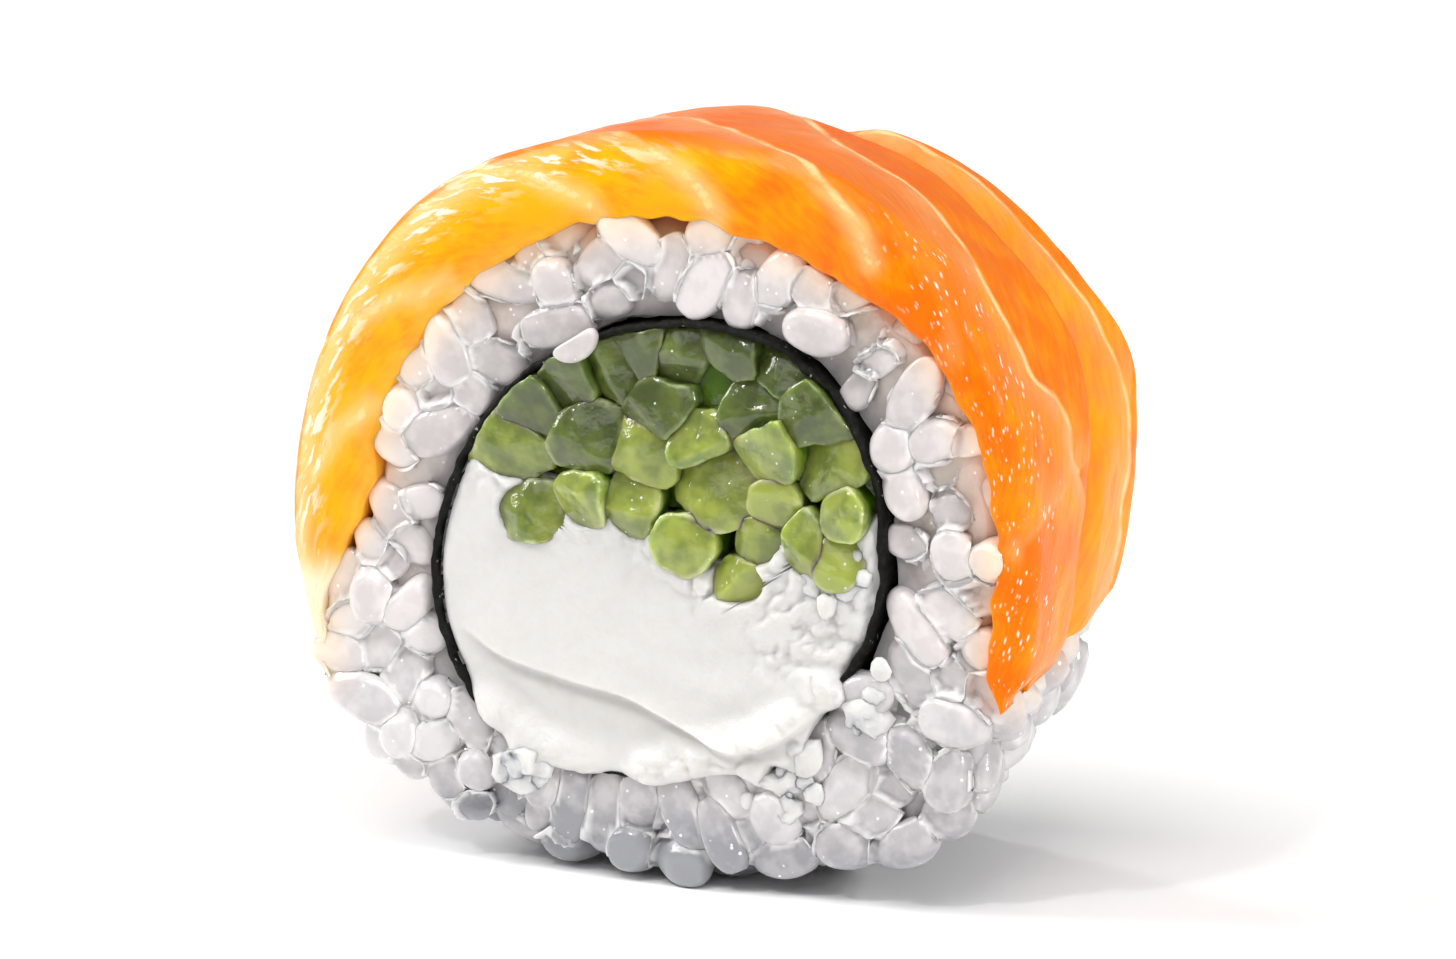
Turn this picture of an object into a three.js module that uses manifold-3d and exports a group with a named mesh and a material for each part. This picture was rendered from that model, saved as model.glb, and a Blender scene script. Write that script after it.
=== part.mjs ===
// One piece of an inside-out sushi roll, cut from a longer roll and lying as it does on a table.
// From the middle outwards: cucumber sticks over cream cheese, a nori loop, sushi rice, and two
// overlapping slices of salmon laid over the top and both sides.
// Millimetres. +X runs across the cut face, +Y from the front cut to the back cut, +Z up.

import * as THREE from 'three';
import { mergeVertices } from 'three/addons/utils/BufferGeometryUtils.js';
import Module from 'manifold-3d';

const wasm = await Module();
wasm.setup();
const { Manifold, Mesh: SolidMesh } = wasm;
const { degToRad, radToDeg, euclideanModulo, lerp, smoothstep } = THREE.MathUtils;

// ---------------------------------------------------------------- driving dimensions

const ROLL_LENGTH = 23; // between the two knife cuts
const FRONT = -ROLL_LENGTH / 2;
const BACK = ROLL_LENGTH / 2;
const NORI_HEIGHT = 20.4; // middle of the nori loop above the table
const NORI_SHEET = 0.7;
const NORI_STANDS_OUT = 0.1;
const GAP = 0.3; // between neighbouring layers

// Outlines round the middle of the nori loop: [degrees from +X towards +Z, radius].
const NORI_OUTLINE = [[0, 14.9], [50, 15.8], [100, 13.9], [155, 14.1], [215, 16.1], [285, 13.2]];
const RICE_OUTLINE = [
  [0, 22.4], [35, 22.8], [60, 21.4], [100, 20.8], [150, 20.3], [178, 20.7], [192, 23.6],
  [210, 24.6], [240, 22.3], [270, 20.2], [300, 22.0], [322, 25.0], [336, 24.6], [347, 22.5],
];
const SALMON_OUTLINE = [
  [0, 24.3], [35, 25.3], [60, 26.3], [90, 25.5], [130, 26.0], [170, 25.5], [200, 24.9], [330, 24.4],
];
// The roll narrows towards its back cut: [degrees, how much lower the rice and salmon are there].
const BACK_DROP = [
  [5, 0.9], [25, 1.1], [60, 2.6], [95, 1.4], [135, 0], [160, 0], [280, 0], [298, 0.8], [310, 2.6],
  [322, 4.4], [334, 4.0], [348, 1.8],
];

// Salmon edges: [degrees, y] of the front slice's edge where it lies on the back slice, and of
// the back slice's far edge; [y, degrees] of the ends of the slices.
const OVERLAP_EDGE = [
  [-20, -2.6], [-2, -2.5], [8, -1.8], [20, 2.2], [32, 3.5], [50, 3.6], [62, 4.9], [74, 6.6], [90, 11.5],
];
const FAR_EDGE = [[-20, 4.0], [0, 6.6], [13, 8.6], [25, 12.0], [38, 11.4], [90, 11.5]];
const SALMON_RIGHT_END = [[-12.5, -19], [-2, -15], [5, -9], [12.5, -6]];
const SALMON_LEFT_END = [[-12.5, 204], [0, 198], [12.5, 206]];
const BACK_SLICE_TOP = 96; // degrees where the back slice begins
const TUCK = 5; // reach of the back slice under the front one
const TUCKED_GAP = 0.45; // between the slices where one lies on the other
const LAP_FADE = { from: 3, to: 10 }; // degrees past the back slice where the front one lies flat
const FEATHER = 0.6; // thickness of the front slice along its overlapping edge
const FEATHER_SHARE = 0.35; // most of the room that the feathered edge takes
const STEP_RISE = 3; // over which the back slice rises past that edge
const LEAST_THICKNESS = 0.3;
const SALMON_ROUNDING = 1.3; // of a cut edge
// A rounded cut edge: [distance from the cut in roundings, share of the thickness].
const CUT_EDGE = [[0, 0.12], [0, 0.62], [0.3, 0.88], [1, 1]];
const SALMON_MARGIN = 5; // degrees past the ends of the slices that grains keep clear of

const GRAIN = { lengths: [6.8, 5.6, 4.5, 3.6], width: 3.1, depth: 2.9, sides: 5, rings: 4 };
const GRAIN_PLUMPNESS = 0.3; // fuller towards its ends than an ellipse
const GRAIN_UNEVENNESS = 0.08; // of its width
const FACE_PITCH = 2.95; // between grains in a cut face
const SIDE_PITCH = 3.35; // between grains on the outside
const RICE_SET_BACK = 0.8; // rice core behind the cut
const RICE_SET_IN = 1.0; // rice core inside the rice outline where grains lie on it
const RICE_STANDS_OUT = 1.1; // most that a grain reaches past the outline or the cut
const RICE_SHOULDER = 0.8; // chamfer of the rice core
const REST_SNAP = 0.8; // the underside is flat where its outline comes this near the table
const DARTS = 4000; // tries at placing a grain on one surface

const FILLING_SET_BACK = 0.5;
// Where the cucumber meets the cream cheese: [x, z] from the middle of the nori loop.
const FILLING_LINE = [
  [-16, 6.5], [-11.5, 3.4], [-8, 1.6], [-2, 1.0], [1.5, -1.2], [4, -2.8], [7, -0.6], [12, 0], [16, 4.2],
];
const STICK = { pitch: 3.7, jitter: 0.4, least: 3.3, most: 4.7, corners: 5, skew: 16 };
const STICK_ROWS = { count: 6, lowest: -2.5, highest: 13 };
const STICK_STANDS_OUT = 0.8;
const CUCUMBER_SET_BACK = 1.6; // between the sticks

const CHEESE_CURL = [[206, 13.3], [230, 10.0], [257, 8.7], [285, 11.0], [308, 13.2]]; // wiped fold
const CURL_HEIGHT = 0.7;
const CURL_FADE = 12; // degrees over which the fold begins and ends
const CHEESE_DOME = 0.25;
const CHEESE_LIP = { from: 218, to: 326, over: 0.6, thick: 0.9 }; // wiped over the nori's edge

const STEPS = { nori: 56, rice: 48, filling: 40, salmonFront: 46, salmonBack: 24, lip: 17 };

const COLOURS = {
  rice: 0xe9e7e4,
  nori: 0x15181a,
  cream_cheese: 0xf5f2ee,
  cucumber: 0x8da24a,
  salmon_front: 0xf0861c,
  salmon_back: 0xec7418,
};

// ---------------------------------------------------------------- curves and draws

// A smooth curve through rising [at, value] pairs, level beyond its ends.
function smoothLine(points) {
  const last = points.length - 1;
  const slope = (index) => {
    const [before, after] = [points[Math.max(index - 1, 0)], points[Math.min(index + 1, last)]];
    return (after[1] - before[1]) / (after[0] - before[0]);
  };
  return (at) => {
    if (at <= points[0][0]) return points[0][1];
    if (at >= points[last][0]) return points[last][1];
    const index = points.findLastIndex(([start]) => start <= at);
    const [[x1, y1], [x2, y2]] = [points[index], points[index + 1]];
    const span = x2 - x1;
    const t = (at - x1) / span;
    return (2 * t ** 3 - 3 * t ** 2 + 1) * y1 + (3 * t ** 2 - 2 * t ** 3) * y2
      + span * ((t ** 3 - 2 * t ** 2 + t) * slope(index) + (t ** 3 - t ** 2) * slope(index + 1));
  };
}

// A smooth closed curve through [degrees, value] pairs.
function smoothLoop(points) {
  const turns = [-360, 0, 360].flatMap((turn) => points.map(([at, value]) => [at + turn, value]));
  const line = smoothLine(turns);
  return (degrees) => line(euclideanModulo(degrees, 360));
}

const noriRadius = smoothLoop(NORI_OUTLINE);
const riceOutline = smoothLoop(RICE_OUTLINE);
const salmonOutline = smoothLoop(SALMON_OUTLINE);
const backDrop = smoothLoop(BACK_DROP);
const narrowing = (angle, y) => backDrop(angle) * (y - FRONT) / ROLL_LENGTH;
const riceRadius = (angle, y) => riceOutline(angle) - narrowing(angle, y);
const salmonRadius = (angle, y) => salmonOutline(angle) - narrowing(angle, y);
const overlapEdge = smoothLine(OVERLAP_EDGE);
const farEdge = smoothLine(FAR_EDGE);
const rightEnd = smoothLine(SALMON_RIGHT_END);
const leftEnd = smoothLine(SALMON_LEFT_END);
const curlRadius = smoothLine(CHEESE_CURL);
const boreRadius = (angle) => noriRadius(angle) - NORI_SHEET - GAP;

// Repeatable draws between two numbers.
function seededDraw(seed) {
  let state = seed;
  return (low, high) => {
    state = (state + 0x6d2b79f5) | 0;
    let mixed = Math.imul(state ^ (state >>> 15), 1 | state);
    mixed = (mixed + Math.imul(mixed ^ (mixed >>> 7), 61 | mixed)) ^ mixed;
    return lerp(low, high, ((mixed ^ (mixed >>> 14)) >>> 0) / 2 ** 32);
  };
}

// ---------------------------------------------------------------- points and solids

function polar(angle, radius, y) {
  const turn = degToRad(angle);
  return new THREE.Vector3(radius * Math.cos(turn), y, NORI_HEIGHT + radius * Math.sin(turn));
}

// The angle, from -90 to 270 degrees, and radius of a point round the nori loop.
function aroundNori(point) {
  const rise = point.z - NORI_HEIGHT;
  const angle = euclideanModulo(radToDeg(Math.atan2(rise, point.x)) + 90, 360) - 90;
  return { angle, radius: Math.hypot(point.x, rise) };
}

function evenly(count, from, to) {
  return Array.from({ length: count }, (_, index) => lerp(from, to, index / (count - 1)));
}

function anglesRound(count) {
  return evenly(count + 1, 0, 360).slice(0, count);
}

function solidOf(geometry) {
  const bare = geometry.clone();
  bare.deleteAttribute('normal');
  bare.deleteAttribute('uv');
  const merged = mergeVertices(bare);
  return new Manifold(new SolidMesh({
    numProp: 3,
    vertProperties: Float32Array.from(merged.attributes.position.array),
    triVerts: Uint32Array.from(merged.index.array),
  }));
}

function geometryOf(solid) {
  const { vertProperties, triVerts } = solid.getMesh();
  const geometry = new THREE.BufferGeometry();
  geometry.setAttribute('position', new THREE.BufferAttribute(vertProperties, 3));
  geometry.setIndex(new THREE.BufferAttribute(triVerts, 1));
  geometry.computeVertexNormals();
  return geometry;
}

// The largest body of a solid, without loose scraps or sealed pockets.
function mainBody(solid) {
  const bodies = solid.decompose();
  return bodies.reduce((best, body) => (body.volume() > best.volume() ? body : best));
}

function volumeOf(points, faces) {
  const cross = new THREE.Vector3();
  let six = 0;
  for (let index = 0; index < faces.length; index += 3) {
    const [a, b, c] = faces.slice(index, index + 3).map((corner) => points[corner]);
    six += a.dot(cross.crossVectors(b, c));
  }
  return six / 6;
}

// A closed solid through a row of sections with equal numbers of points. A ring's last section
// joins its first; otherwise both ends are closed.
function solidThrough(sections, { ring }) {
  const across = sections[0].length;
  const points = sections.flat();
  const faces = [];
  const joins = ring ? sections.length : sections.length - 1;
  for (let row = 0; row < joins; row += 1) {
    const next = (row + 1) % sections.length;
    for (let side = 0; side < across; side += 1) {
      const beside = (side + 1) % across;
      const [a, b] = [row * across + side, row * across + beside];
      const [c, d] = [next * across + side, next * across + beside];
      faces.push(a, c, d, a, d, b);
    }
  }
  if (!ring) {
    closeEnd(0, 1);
    closeEnd(sections.length - 1, -1);
  }
  if (volumeOf(points, faces) < 0) faces.reverse();
  const geometry = new THREE.BufferGeometry().setFromPoints(points);
  geometry.setIndex(faces);
  return solidOf(geometry);

  function closeEnd(row, way) {
    const section = sections[row];
    const middle = section.reduce((sum, point) => sum.add(point), new THREE.Vector3());
    const hub = points.push(middle.divideScalar(across)) - 1;
    for (let side = 0; side < across; side += 1) {
      const rim = [row * across + side, row * across + (side + 1) % across];
      if (way < 0) rim.reverse();
      faces.push(hub, ...rim);
    }
  }
}

// A straight bar along Y with the given outline of [x, z] points round the nori's middle.
function barAlongY(outline, yFront, yBack) {
  const shape = new THREE.Shape(outline.map(([x, z]) => new THREE.Vector2(x, -z)));
  const bar = new THREE.ExtrudeGeometry(shape, { depth: yBack - yFront, bevelEnabled: false });
  bar.rotateX(-Math.PI / 2);
  bar.translate(0, yFront, NORI_HEIGHT);
  return solidOf(bar);
}

// ---------------------------------------------------------------- nori

function makeNori() {
  const wavesRound = 5;
  const waveHeight = 0.1;
  const sections = anglesRound(STEPS.nori).map((angle) => {
    const outer = noriRadius(angle);
    const inner = outer - NORI_SHEET;
    const wave = waveHeight * Math.sin(degToRad(wavesRound * angle));
    const yFront = FRONT - NORI_STANDS_OUT + wave;
    const yBack = BACK + NORI_STANDS_OUT + wave;
    return [[outer, yFront], [outer, yBack], [inner, yBack], [inner, yFront]]
      .map(([radius, y]) => polar(angle, radius, y));
  });
  return solidThrough(sections, { ring: true });
}

// ---------------------------------------------------------------- salmon

const salmonRoom = (angle) => salmonOutline(angle) - riceOutline(angle) - GAP;
const featherAt = (angle) => Math.min(FEATHER, FEATHER_SHARE * salmonRoom(angle));
const lapAt = (angle) => 1 - smoothstep(angle - BACK_SLICE_TOP, LAP_FADE.from, LAP_FADE.to);

// Height of the front slice's underside over the rice, as it rises onto the back slice.
function underside(angle, y) {
  const edge = overlapEdge(angle);
  const rise = lapAt(angle) * smoothstep(y, edge - TUCK, edge);
  return riceRadius(angle, y) + GAP + rise * (salmonRoom(angle) - featherAt(angle));
}

// The nearest the back slice comes to the front, where the rising underside still leaves it room.
function tuckedEdge(angle) {
  const needed = (TUCKED_GAP + LEAST_THICKNESS) / (salmonRoom(angle) - featherAt(angle));
  const climb = 0.5 - Math.sin(Math.asin(1 - 2 * Math.min(needed, 1)) / 3);
  return overlapEdge(angle) - TUCK * (1 - climb);
}

function backSliceTop(angle, y) {
  const edge = overlapEdge(angle);
  const step = featherAt(angle) + GAP;
  const seen = salmonRadius(angle, y) - step * (1 - smoothstep(y, edge + GAP, edge + STEP_RISE));
  return y < edge + GAP ? Math.min(underside(angle, y) - TUCKED_GAP, seen) : seen;
}

// One section round a slice, over its top from the front edge to the back edge and back below.
function sliceSection({ angleAt, yFront, yBack, top, bottom, pinch }) {
  const at = (y, share) => {
    const angle = angleAt(y);
    const [low, high] = [bottom(angle, y), top(angle, y)];
    const middle = 0.5 * (low + high);
    return polar(angle, lerp(lerp(low, high, share), middle, pinch), y);
  };
  const rounding = Math.min(SALMON_ROUNDING, (yBack - yFront) / 4);
  const inset = 0.3;
  const over = [0.25, 0.5, 0.75].map((share) => lerp(yFront + rounding, yBack - rounding, share));
  const below = [inset, 0.25 * TUCK, 0.5 * TUCK, TUCK].map((back) => Math.max(yBack - back, yFront + 1));
  return [
    ...CUT_EDGE.map(([back, share]) => at(yFront + back * rounding, share)),
    ...over.map((y) => at(y, 1)),
    ...CUT_EDGE.toReversed().map(([back, share]) => at(yBack - back * rounding, share)),
    ...below.map((y) => at(y, 0)),
    at(yFront + inset, 0),
  ];
}

// Places along a slice from end to end, closer together near its ends, which are pinched thin.
function alongSlice(count) {
  const crowding = 0.1;
  const pinched = { most: 0.75, over: 0.02 };
  return evenly(count, 0, 1).map((even) => {
    const share = even - crowding * Math.sin(2 * Math.PI * even);
    const toEnd = Math.min(share, 1 - share);
    return { share, pinch: pinched.most * (1 - smoothstep(toEnd, 0, pinched.over)) };
  });
}

function makeFrontSlice() {
  const wave = (share) => 0.12 * Math.sin(9 * share);
  const sections = alongSlice(STEPS.salmonFront).map(({ share, pinch }) => {
    const angleAt = (y) => lerp(rightEnd(y), leftEnd(y), share);
    return sliceSection({
      angleAt,
      yFront: FRONT + wave(share),
      yBack: Math.min(overlapEdge(angleAt(0)), BACK + wave(1 - share)),
      top: salmonRadius,
      bottom: underside,
      pinch,
    });
  });
  return solidThrough(sections, { ring: false });
}

function makeBackSlice() {
  const nearFarEdge = 8;
  const sections = alongSlice(STEPS.salmonBack).map(({ share, pinch }) => {
    const angleAt = (y) => lerp(rightEnd(y), BACK_SLICE_TOP, share);
    return sliceSection({
      angleAt,
      yFront: tuckedEdge(angleAt(0)),
      yBack: farEdge(angleAt(nearFarEdge)),
      top: backSliceTop,
      bottom: (angle, y) => riceRadius(angle, y) + GAP,
      pinch,
    });
  });
  return solidThrough(sections, { ring: false });
}

function isUnderSalmon(angle, y) {
  const between = angle > rightEnd(y) - SALMON_MARGIN && angle < leftEnd(y) + SALMON_MARGIN;
  return between && y < farEdge(angle) + GAP;
}

// ---------------------------------------------------------------- rice

function makeRiceCore() {
  const reach = BACK - RICE_SET_BACK;
  const edge = reach - RICE_SHOULDER;
  const outerAt = (angle, y) => {
    const turned = angle > 270 ? angle - 360 : angle;
    const outline = riceRadius(turned, y);
    const downwards = -Math.sin(degToRad(angle));
    const toTable = downwards > 0 ? NORI_HEIGHT / downwards : Infinity;
    if (Math.abs(toTable - outline) < REST_SNAP) return toTable;
    return isUnderSalmon(turned, y) ? outline : outline - RICE_SET_IN;
  };
  const sections = anglesRound(STEPS.rice).map((angle) => {
    const inner = noriRadius(angle) + GAP;
    const shoulderAt = (y) => polar(angle, outerAt(angle, y) - RICE_SHOULDER, y);
    const outside = evenly(4, -edge, edge).map((y) => polar(angle, outerAt(angle, y), y));
    return [
      polar(angle, inner, -reach),
      shoulderAt(-reach),
      ...outside,
      shoulderAt(reach),
      polar(angle, inner, reach),
    ];
  });
  return solidThrough(sections, { ring: true });
}

const lipRadius = (angle) => noriRadius(angle) + CHEESE_LIP.over;

function isFreeForRice(point) {
  const { angle, radius } = aroundNori(point);
  const turn = euclideanModulo(angle, 360);
  const byLip = turn > CHEESE_LIP.from && turn < CHEESE_LIP.to && point.y < FRONT + GAP;
  const least = (byLip ? lipRadius(angle) : noriRadius(angle)) + GAP;
  const most = riceRadius(angle, point.y) + (isUnderSalmon(angle, point.y) ? 0 : RICE_STANDS_OUT);
  const nearCuts = Math.abs(point.y) < BACK + RICE_STANDS_OUT;
  return radius > least && radius < most && point.z > 0 && nearCuts;
}

function plumpGrain(length, girth) {
  const grain = new THREE.SphereGeometry(0.5, GRAIN.sides, GRAIN.rings);
  const corners = grain.attributes.position;
  for (let index = 0; index < corners.count; index += 1) {
    const fuller = 1 + GRAIN_PLUMPNESS * Math.abs(corners.getY(index));
    corners.setX(index, corners.getX(index) * fuller);
    corners.setZ(index, corners.getZ(index) * fuller);
  }
  return grain.scale(GRAIN.width * girth, length, GRAIN.depth * girth);
}

function cornersOf(geometry) {
  const corners = geometry.attributes.position;
  return Array.from({ length: corners.count }, (_, index) => (
    new THREE.Vector3().fromBufferAttribute(corners, index)));
}

// A grain lying along a direction, as long as there is room for, or nothing.
function fitGrain(centre, direction, draw) {
  const lengthwise = new THREE.Vector3(0, 1, 0);
  const turn = new THREE.Quaternion().setFromUnitVectors(lengthwise, direction.normalize());
  const girth = draw(1 - GRAIN_UNEVENNESS, 1 + GRAIN_UNEVENNESS);
  const longest = Math.floor(draw(0, GRAIN.lengths.length - 1));
  const tries = GRAIN.lengths.slice(longest).map((length) => (
    plumpGrain(length, girth).applyQuaternion(turn).translate(...centre)));
  const fitting = tries.find((grain) => cornersOf(grain).every(isFreeForRice));
  return fitting ? solidOf(fitting) : null;
}

// Grains scattered over a surface, no nearer to each other than the pitch. The place function
// draws a centre and a direction for each try.
function scatterGrains(pitch, place, draw) {
  const laid = [];
  for (let dart = 0; dart < DARTS; dart += 1) {
    const { centre, direction } = place();
    const clear = laid.every((other) => other.centre.distanceTo(centre) > pitch);
    const grain = clear ? fitGrain(centre, direction, draw) : null;
    if (grain) laid.push({ centre, grain });
  }
  return laid.map(({ grain }) => grain);
}

function faceGrains(way, draw) {
  const place = () => {
    const angle = draw(-90, 270);
    const y = way * (BACK - RICE_SET_BACK + draw(0, 0.4));
    const centre = polar(angle, draw(noriRadius(angle) + 1, riceRadius(angle, y)), y);
    const direction = new THREE.Vector3(draw(-1, 1), draw(-0.8, 0.8), draw(-1, 1));
    return { centre, direction };
  };
  return scatterGrains(FACE_PITCH, place, draw);
}

function sideGrains(draw) {
  const reach = BACK - RICE_SET_BACK - RICE_SHOULDER;
  const place = () => {
    const angle = draw(-90, 270);
    const y = draw(-reach, reach);
    const centre = polar(angle, riceRadius(angle, y) - RICE_SET_IN, y);
    const roundwards = draw(-1, 1);
    const direction = new THREE.Vector3(
      -roundwards * Math.sin(degToRad(angle)),
      draw(0.2, 1),
      roundwards * Math.cos(degToRad(angle)),
    );
    return { centre, direction };
  };
  return scatterGrains(SIDE_PITCH, place, draw);
}

function makeRice() {
  const draw = seededDraw(11);
  const grains = [...faceGrains(-1, draw), ...faceGrains(1, draw), ...sideGrains(draw)];
  return mainBody(Manifold.union([makeRiceCore(), ...grains]));
}

// ---------------------------------------------------------------- filling

function aroundPoint([x, z], angle, radius) {
  return [x + radius * Math.cos(degToRad(angle)), z + radius * Math.sin(degToRad(angle))];
}

function boreBar(yFront, yBack) {
  const outline = anglesRound(STEPS.filling).map((angle) => aroundPoint([0, 0], angle, boreRadius(angle)));
  return barAlongY(outline, yFront, yBack);
}

// Everything below the line between cucumber and cheese, moved up or down by lift.
function belowLine(lift) {
  const line = FILLING_LINE.map(([x, z]) => [x, z + lift]);
  const [[left], [right]] = [line[0], line.at(-1)];
  return barAlongY([...line, [right, -NORI_HEIGHT], [left, -NORI_HEIGHT]], 2 * FRONT, 2 * BACK);
}

// A row of sticks: each its place, its uneven outline and how far its two ends stand out.
function stickRow(height, shift, draw) {
  const { pitch, jitter, least, most, corners, skew } = STICK;
  const across = Math.ceil(NORI_OUTLINE[0][1] / pitch);
  return evenly(2 * across + 1, -across, across).map((step) => ({
    middle: [(step + shift) * pitch + draw(-jitter, jitter), height + draw(-jitter, jitter)],
    spin: draw(0, 360 / corners),
    size: draw(least, most) / 2,
    shape: anglesRound(corners).map((corner) => ({
      turn: corner + draw(-skew, skew),
      share: draw(0.92, 1.2),
    })),
    ends: [draw(0, STICK_STANDS_OUT), draw(0, STICK_STANDS_OUT)],
  }));
}

// The sticks, in rows shifted by half a pitch, that fill the bore above the filling line.
function layOutSticks() {
  const draw = seededDraw(29);
  const lineHeight = smoothLine(FILLING_LINE);
  const sunk = 0.6;
  const rows = evenly(STICK_ROWS.count, STICK_ROWS.lowest, STICK_ROWS.highest);
  return rows.flatMap((height, row) => stickRow(height, (row % 2) / 2, draw)).filter(({ middle: [x, z] }) => {
    const angle = radToDeg(Math.atan2(z, x));
    return Math.hypot(x, z) < boreRadius(angle) - sunk && z > lineHeight(x) - sunk;
  });
}

function stickBar({ middle, spin, size, shape, ends }, grow) {
  const outline = shape.map(({ turn, share }) => aroundPoint(middle, turn + spin, size * share + grow));
  return barAlongY(outline, FRONT - ends[0] - grow, BACK + ends[1] + grow);
}

function makeCucumber(sticksLaid) {
  const core = boreBar(FRONT + CUCUMBER_SET_BACK, BACK - CUCUMBER_SET_BACK).subtract(belowLine(GAP));
  const bars = Manifold.union(sticksLaid.map((stick) => stickBar(stick, 0)));
  return mainBody(core.add(bars.intersect(boreBar(2 * FRONT, 2 * BACK))));
}

// The cheese's cut face along one angle: [radius, how far it stands forward] out from the middle.
// A low fold, where a knife wiped it, follows the curl line. The back cut mirrors the front one.
function cheeseRow(angle, way) {
  const rim = boreRadius(angle);
  const turn = euclideanModulo(way < 0 ? angle : 180 - angle, 360);
  const [from, to] = [CHEESE_CURL[0][0], CHEESE_CURL.at(-1)[0]];
  const curl = smoothstep(turn, from, from + CURL_FADE) * (1 - smoothstep(turn, to - CURL_FADE, to));
  const plainFold = 0.8 * rim;
  const fold = lerp(plainFold, Math.min(curlRadius(turn), rim - 1.2), curl);
  const foot = fold + 0.5;
  return [
    [0.4 * fold, CHEESE_DOME],
    [0.75 * fold, CHEESE_DOME],
    [fold - 0.2, CHEESE_DOME + CURL_HEIGHT * curl],
    [foot, CHEESE_DOME * (1 - curl)],
    [(foot + rim) / 2, CHEESE_DOME * curl],
    [rim, 0],
  ];
}

function cheeseBlock() {
  const angles = anglesRound(STEPS.filling);
  const rings = (way) => cheeseRow(0, way).map((_, index) => angles.map((angle) => {
    const [radius, forward] = cheeseRow(angle, way)[index];
    return polar(angle, radius, way * (BACK - FILLING_SET_BACK + forward));
  }));
  return solidThrough([...rings(-1), ...rings(1).toReversed()], { ring: false });
}

// The lip of cheese in front of the nori's edge, thick in its middle and thin at both ends.
function cheeseLip() {
  const { from, to, thick, over } = CHEESE_LIP;
  const behind = FRONT - NORI_STANDS_OUT - 1.5 * GAP;
  const rooted = { deep: FRONT + 1, reach: 2.6 };
  const sections = evenly(STEPS.lip, from, to).map((angle) => {
    const fromMiddle = Math.abs(2 * (angle - from) / (to - from) - 1);
    const swell = Math.sqrt(1 - 0.98 * fromMiddle ** 2);
    const lumps = 0.8 + 0.2 * Math.sin(degToRad(9 * angle));
    const forward = behind - thick * swell * lumps;
    const inner = boreRadius(angle);
    const outer = inner + (GAP + NORI_SHEET + over) * Math.min(1.4 * swell, 1) * lumps;
    return [
      [inner, rooted.deep],
      [inner - rooted.reach, rooted.deep],
      [inner - 0.85 * rooted.reach, lerp(FRONT, forward, 0.6)],
      [inner - 0.3 * rooted.reach, forward],
      [lerp(inner, outer, 0.6), forward],
      [outer, lerp(behind, forward, 0.4)],
      [outer - 0.1, behind],
      [inner, behind],
    ].map(([radius, y]) => polar(angle, radius, y));
  });
  return solidThrough(sections, { ring: false });
}

function makeCheese(sticksLaid) {
  const room = Manifold.union(sticksLaid.map((stick) => stickBar(stick, GAP)));
  return mainBody(cheeseBlock().intersect(belowLine(0)).subtract(room).add(cheeseLip()));
}

// ---------------------------------------------------------------- the piece

const sticks = layOutSticks();
const solids = {
  rice: makeRice(),
  nori: makeNori(),
  cream_cheese: makeCheese(sticks),
  cucumber: makeCucumber(sticks),
  salmon_front: makeFrontSlice(),
  salmon_back: makeBackSlice(),
};

// The origin is under the middle of the piece, on the table.
const roll = new THREE.Group();
for (const [name, solid] of Object.entries(solids)) {
  const roughness = name.startsWith('salmon') ? 0.25 : 0.5;
  const material = new THREE.MeshStandardMaterial({ color: COLOURS[name], roughness, metalness: 0 });
  const mesh = new THREE.Mesh(geometryOf(solid), material);
  mesh.name = name;
  roll.add(mesh);
}
const middle = new THREE.Box3().setFromObject(roll).getCenter(new THREE.Vector3());
roll.position.set(-middle.x, -middle.y, 0);

const group = new THREE.Group();
group.add(roll);

export default group;
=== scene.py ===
"""Looks for one cut piece of an inside-out sushi roll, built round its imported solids.

Lengths are millimetres from the middle of the nori loop: x across the cut faces, y from the front
cut to the back cut, z up. Angles are degrees from +x towards +z. Roll.place turns such points into
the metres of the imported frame.
"""
import logging
import math
from dataclasses import dataclass, field
from enum import Enum
from itertools import product
from typing import Callable, Sequence

import bpy
import numpy as np
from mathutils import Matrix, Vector


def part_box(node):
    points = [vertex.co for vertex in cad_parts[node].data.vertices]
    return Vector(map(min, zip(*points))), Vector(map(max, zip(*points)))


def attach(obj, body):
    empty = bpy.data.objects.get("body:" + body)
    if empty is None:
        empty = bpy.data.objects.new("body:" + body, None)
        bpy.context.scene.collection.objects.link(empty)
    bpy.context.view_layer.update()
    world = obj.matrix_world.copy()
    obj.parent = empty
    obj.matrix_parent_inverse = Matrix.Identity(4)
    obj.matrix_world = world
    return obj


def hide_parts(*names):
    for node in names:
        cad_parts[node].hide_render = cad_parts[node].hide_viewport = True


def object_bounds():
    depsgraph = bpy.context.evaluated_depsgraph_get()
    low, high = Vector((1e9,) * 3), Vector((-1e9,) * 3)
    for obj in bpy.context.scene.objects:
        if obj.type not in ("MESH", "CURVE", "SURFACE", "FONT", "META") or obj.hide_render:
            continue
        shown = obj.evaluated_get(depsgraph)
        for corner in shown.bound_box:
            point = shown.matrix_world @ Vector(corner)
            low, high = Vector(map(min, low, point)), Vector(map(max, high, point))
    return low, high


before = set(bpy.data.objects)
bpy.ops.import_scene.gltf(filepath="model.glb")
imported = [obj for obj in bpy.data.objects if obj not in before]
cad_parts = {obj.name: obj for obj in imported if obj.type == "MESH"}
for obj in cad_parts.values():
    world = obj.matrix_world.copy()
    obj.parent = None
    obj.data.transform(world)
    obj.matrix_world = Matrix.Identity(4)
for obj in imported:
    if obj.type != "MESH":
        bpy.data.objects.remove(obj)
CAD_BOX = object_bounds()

MM = 0.001
BODY = "root"
LOG = logging.getLogger("sushi")

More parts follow.
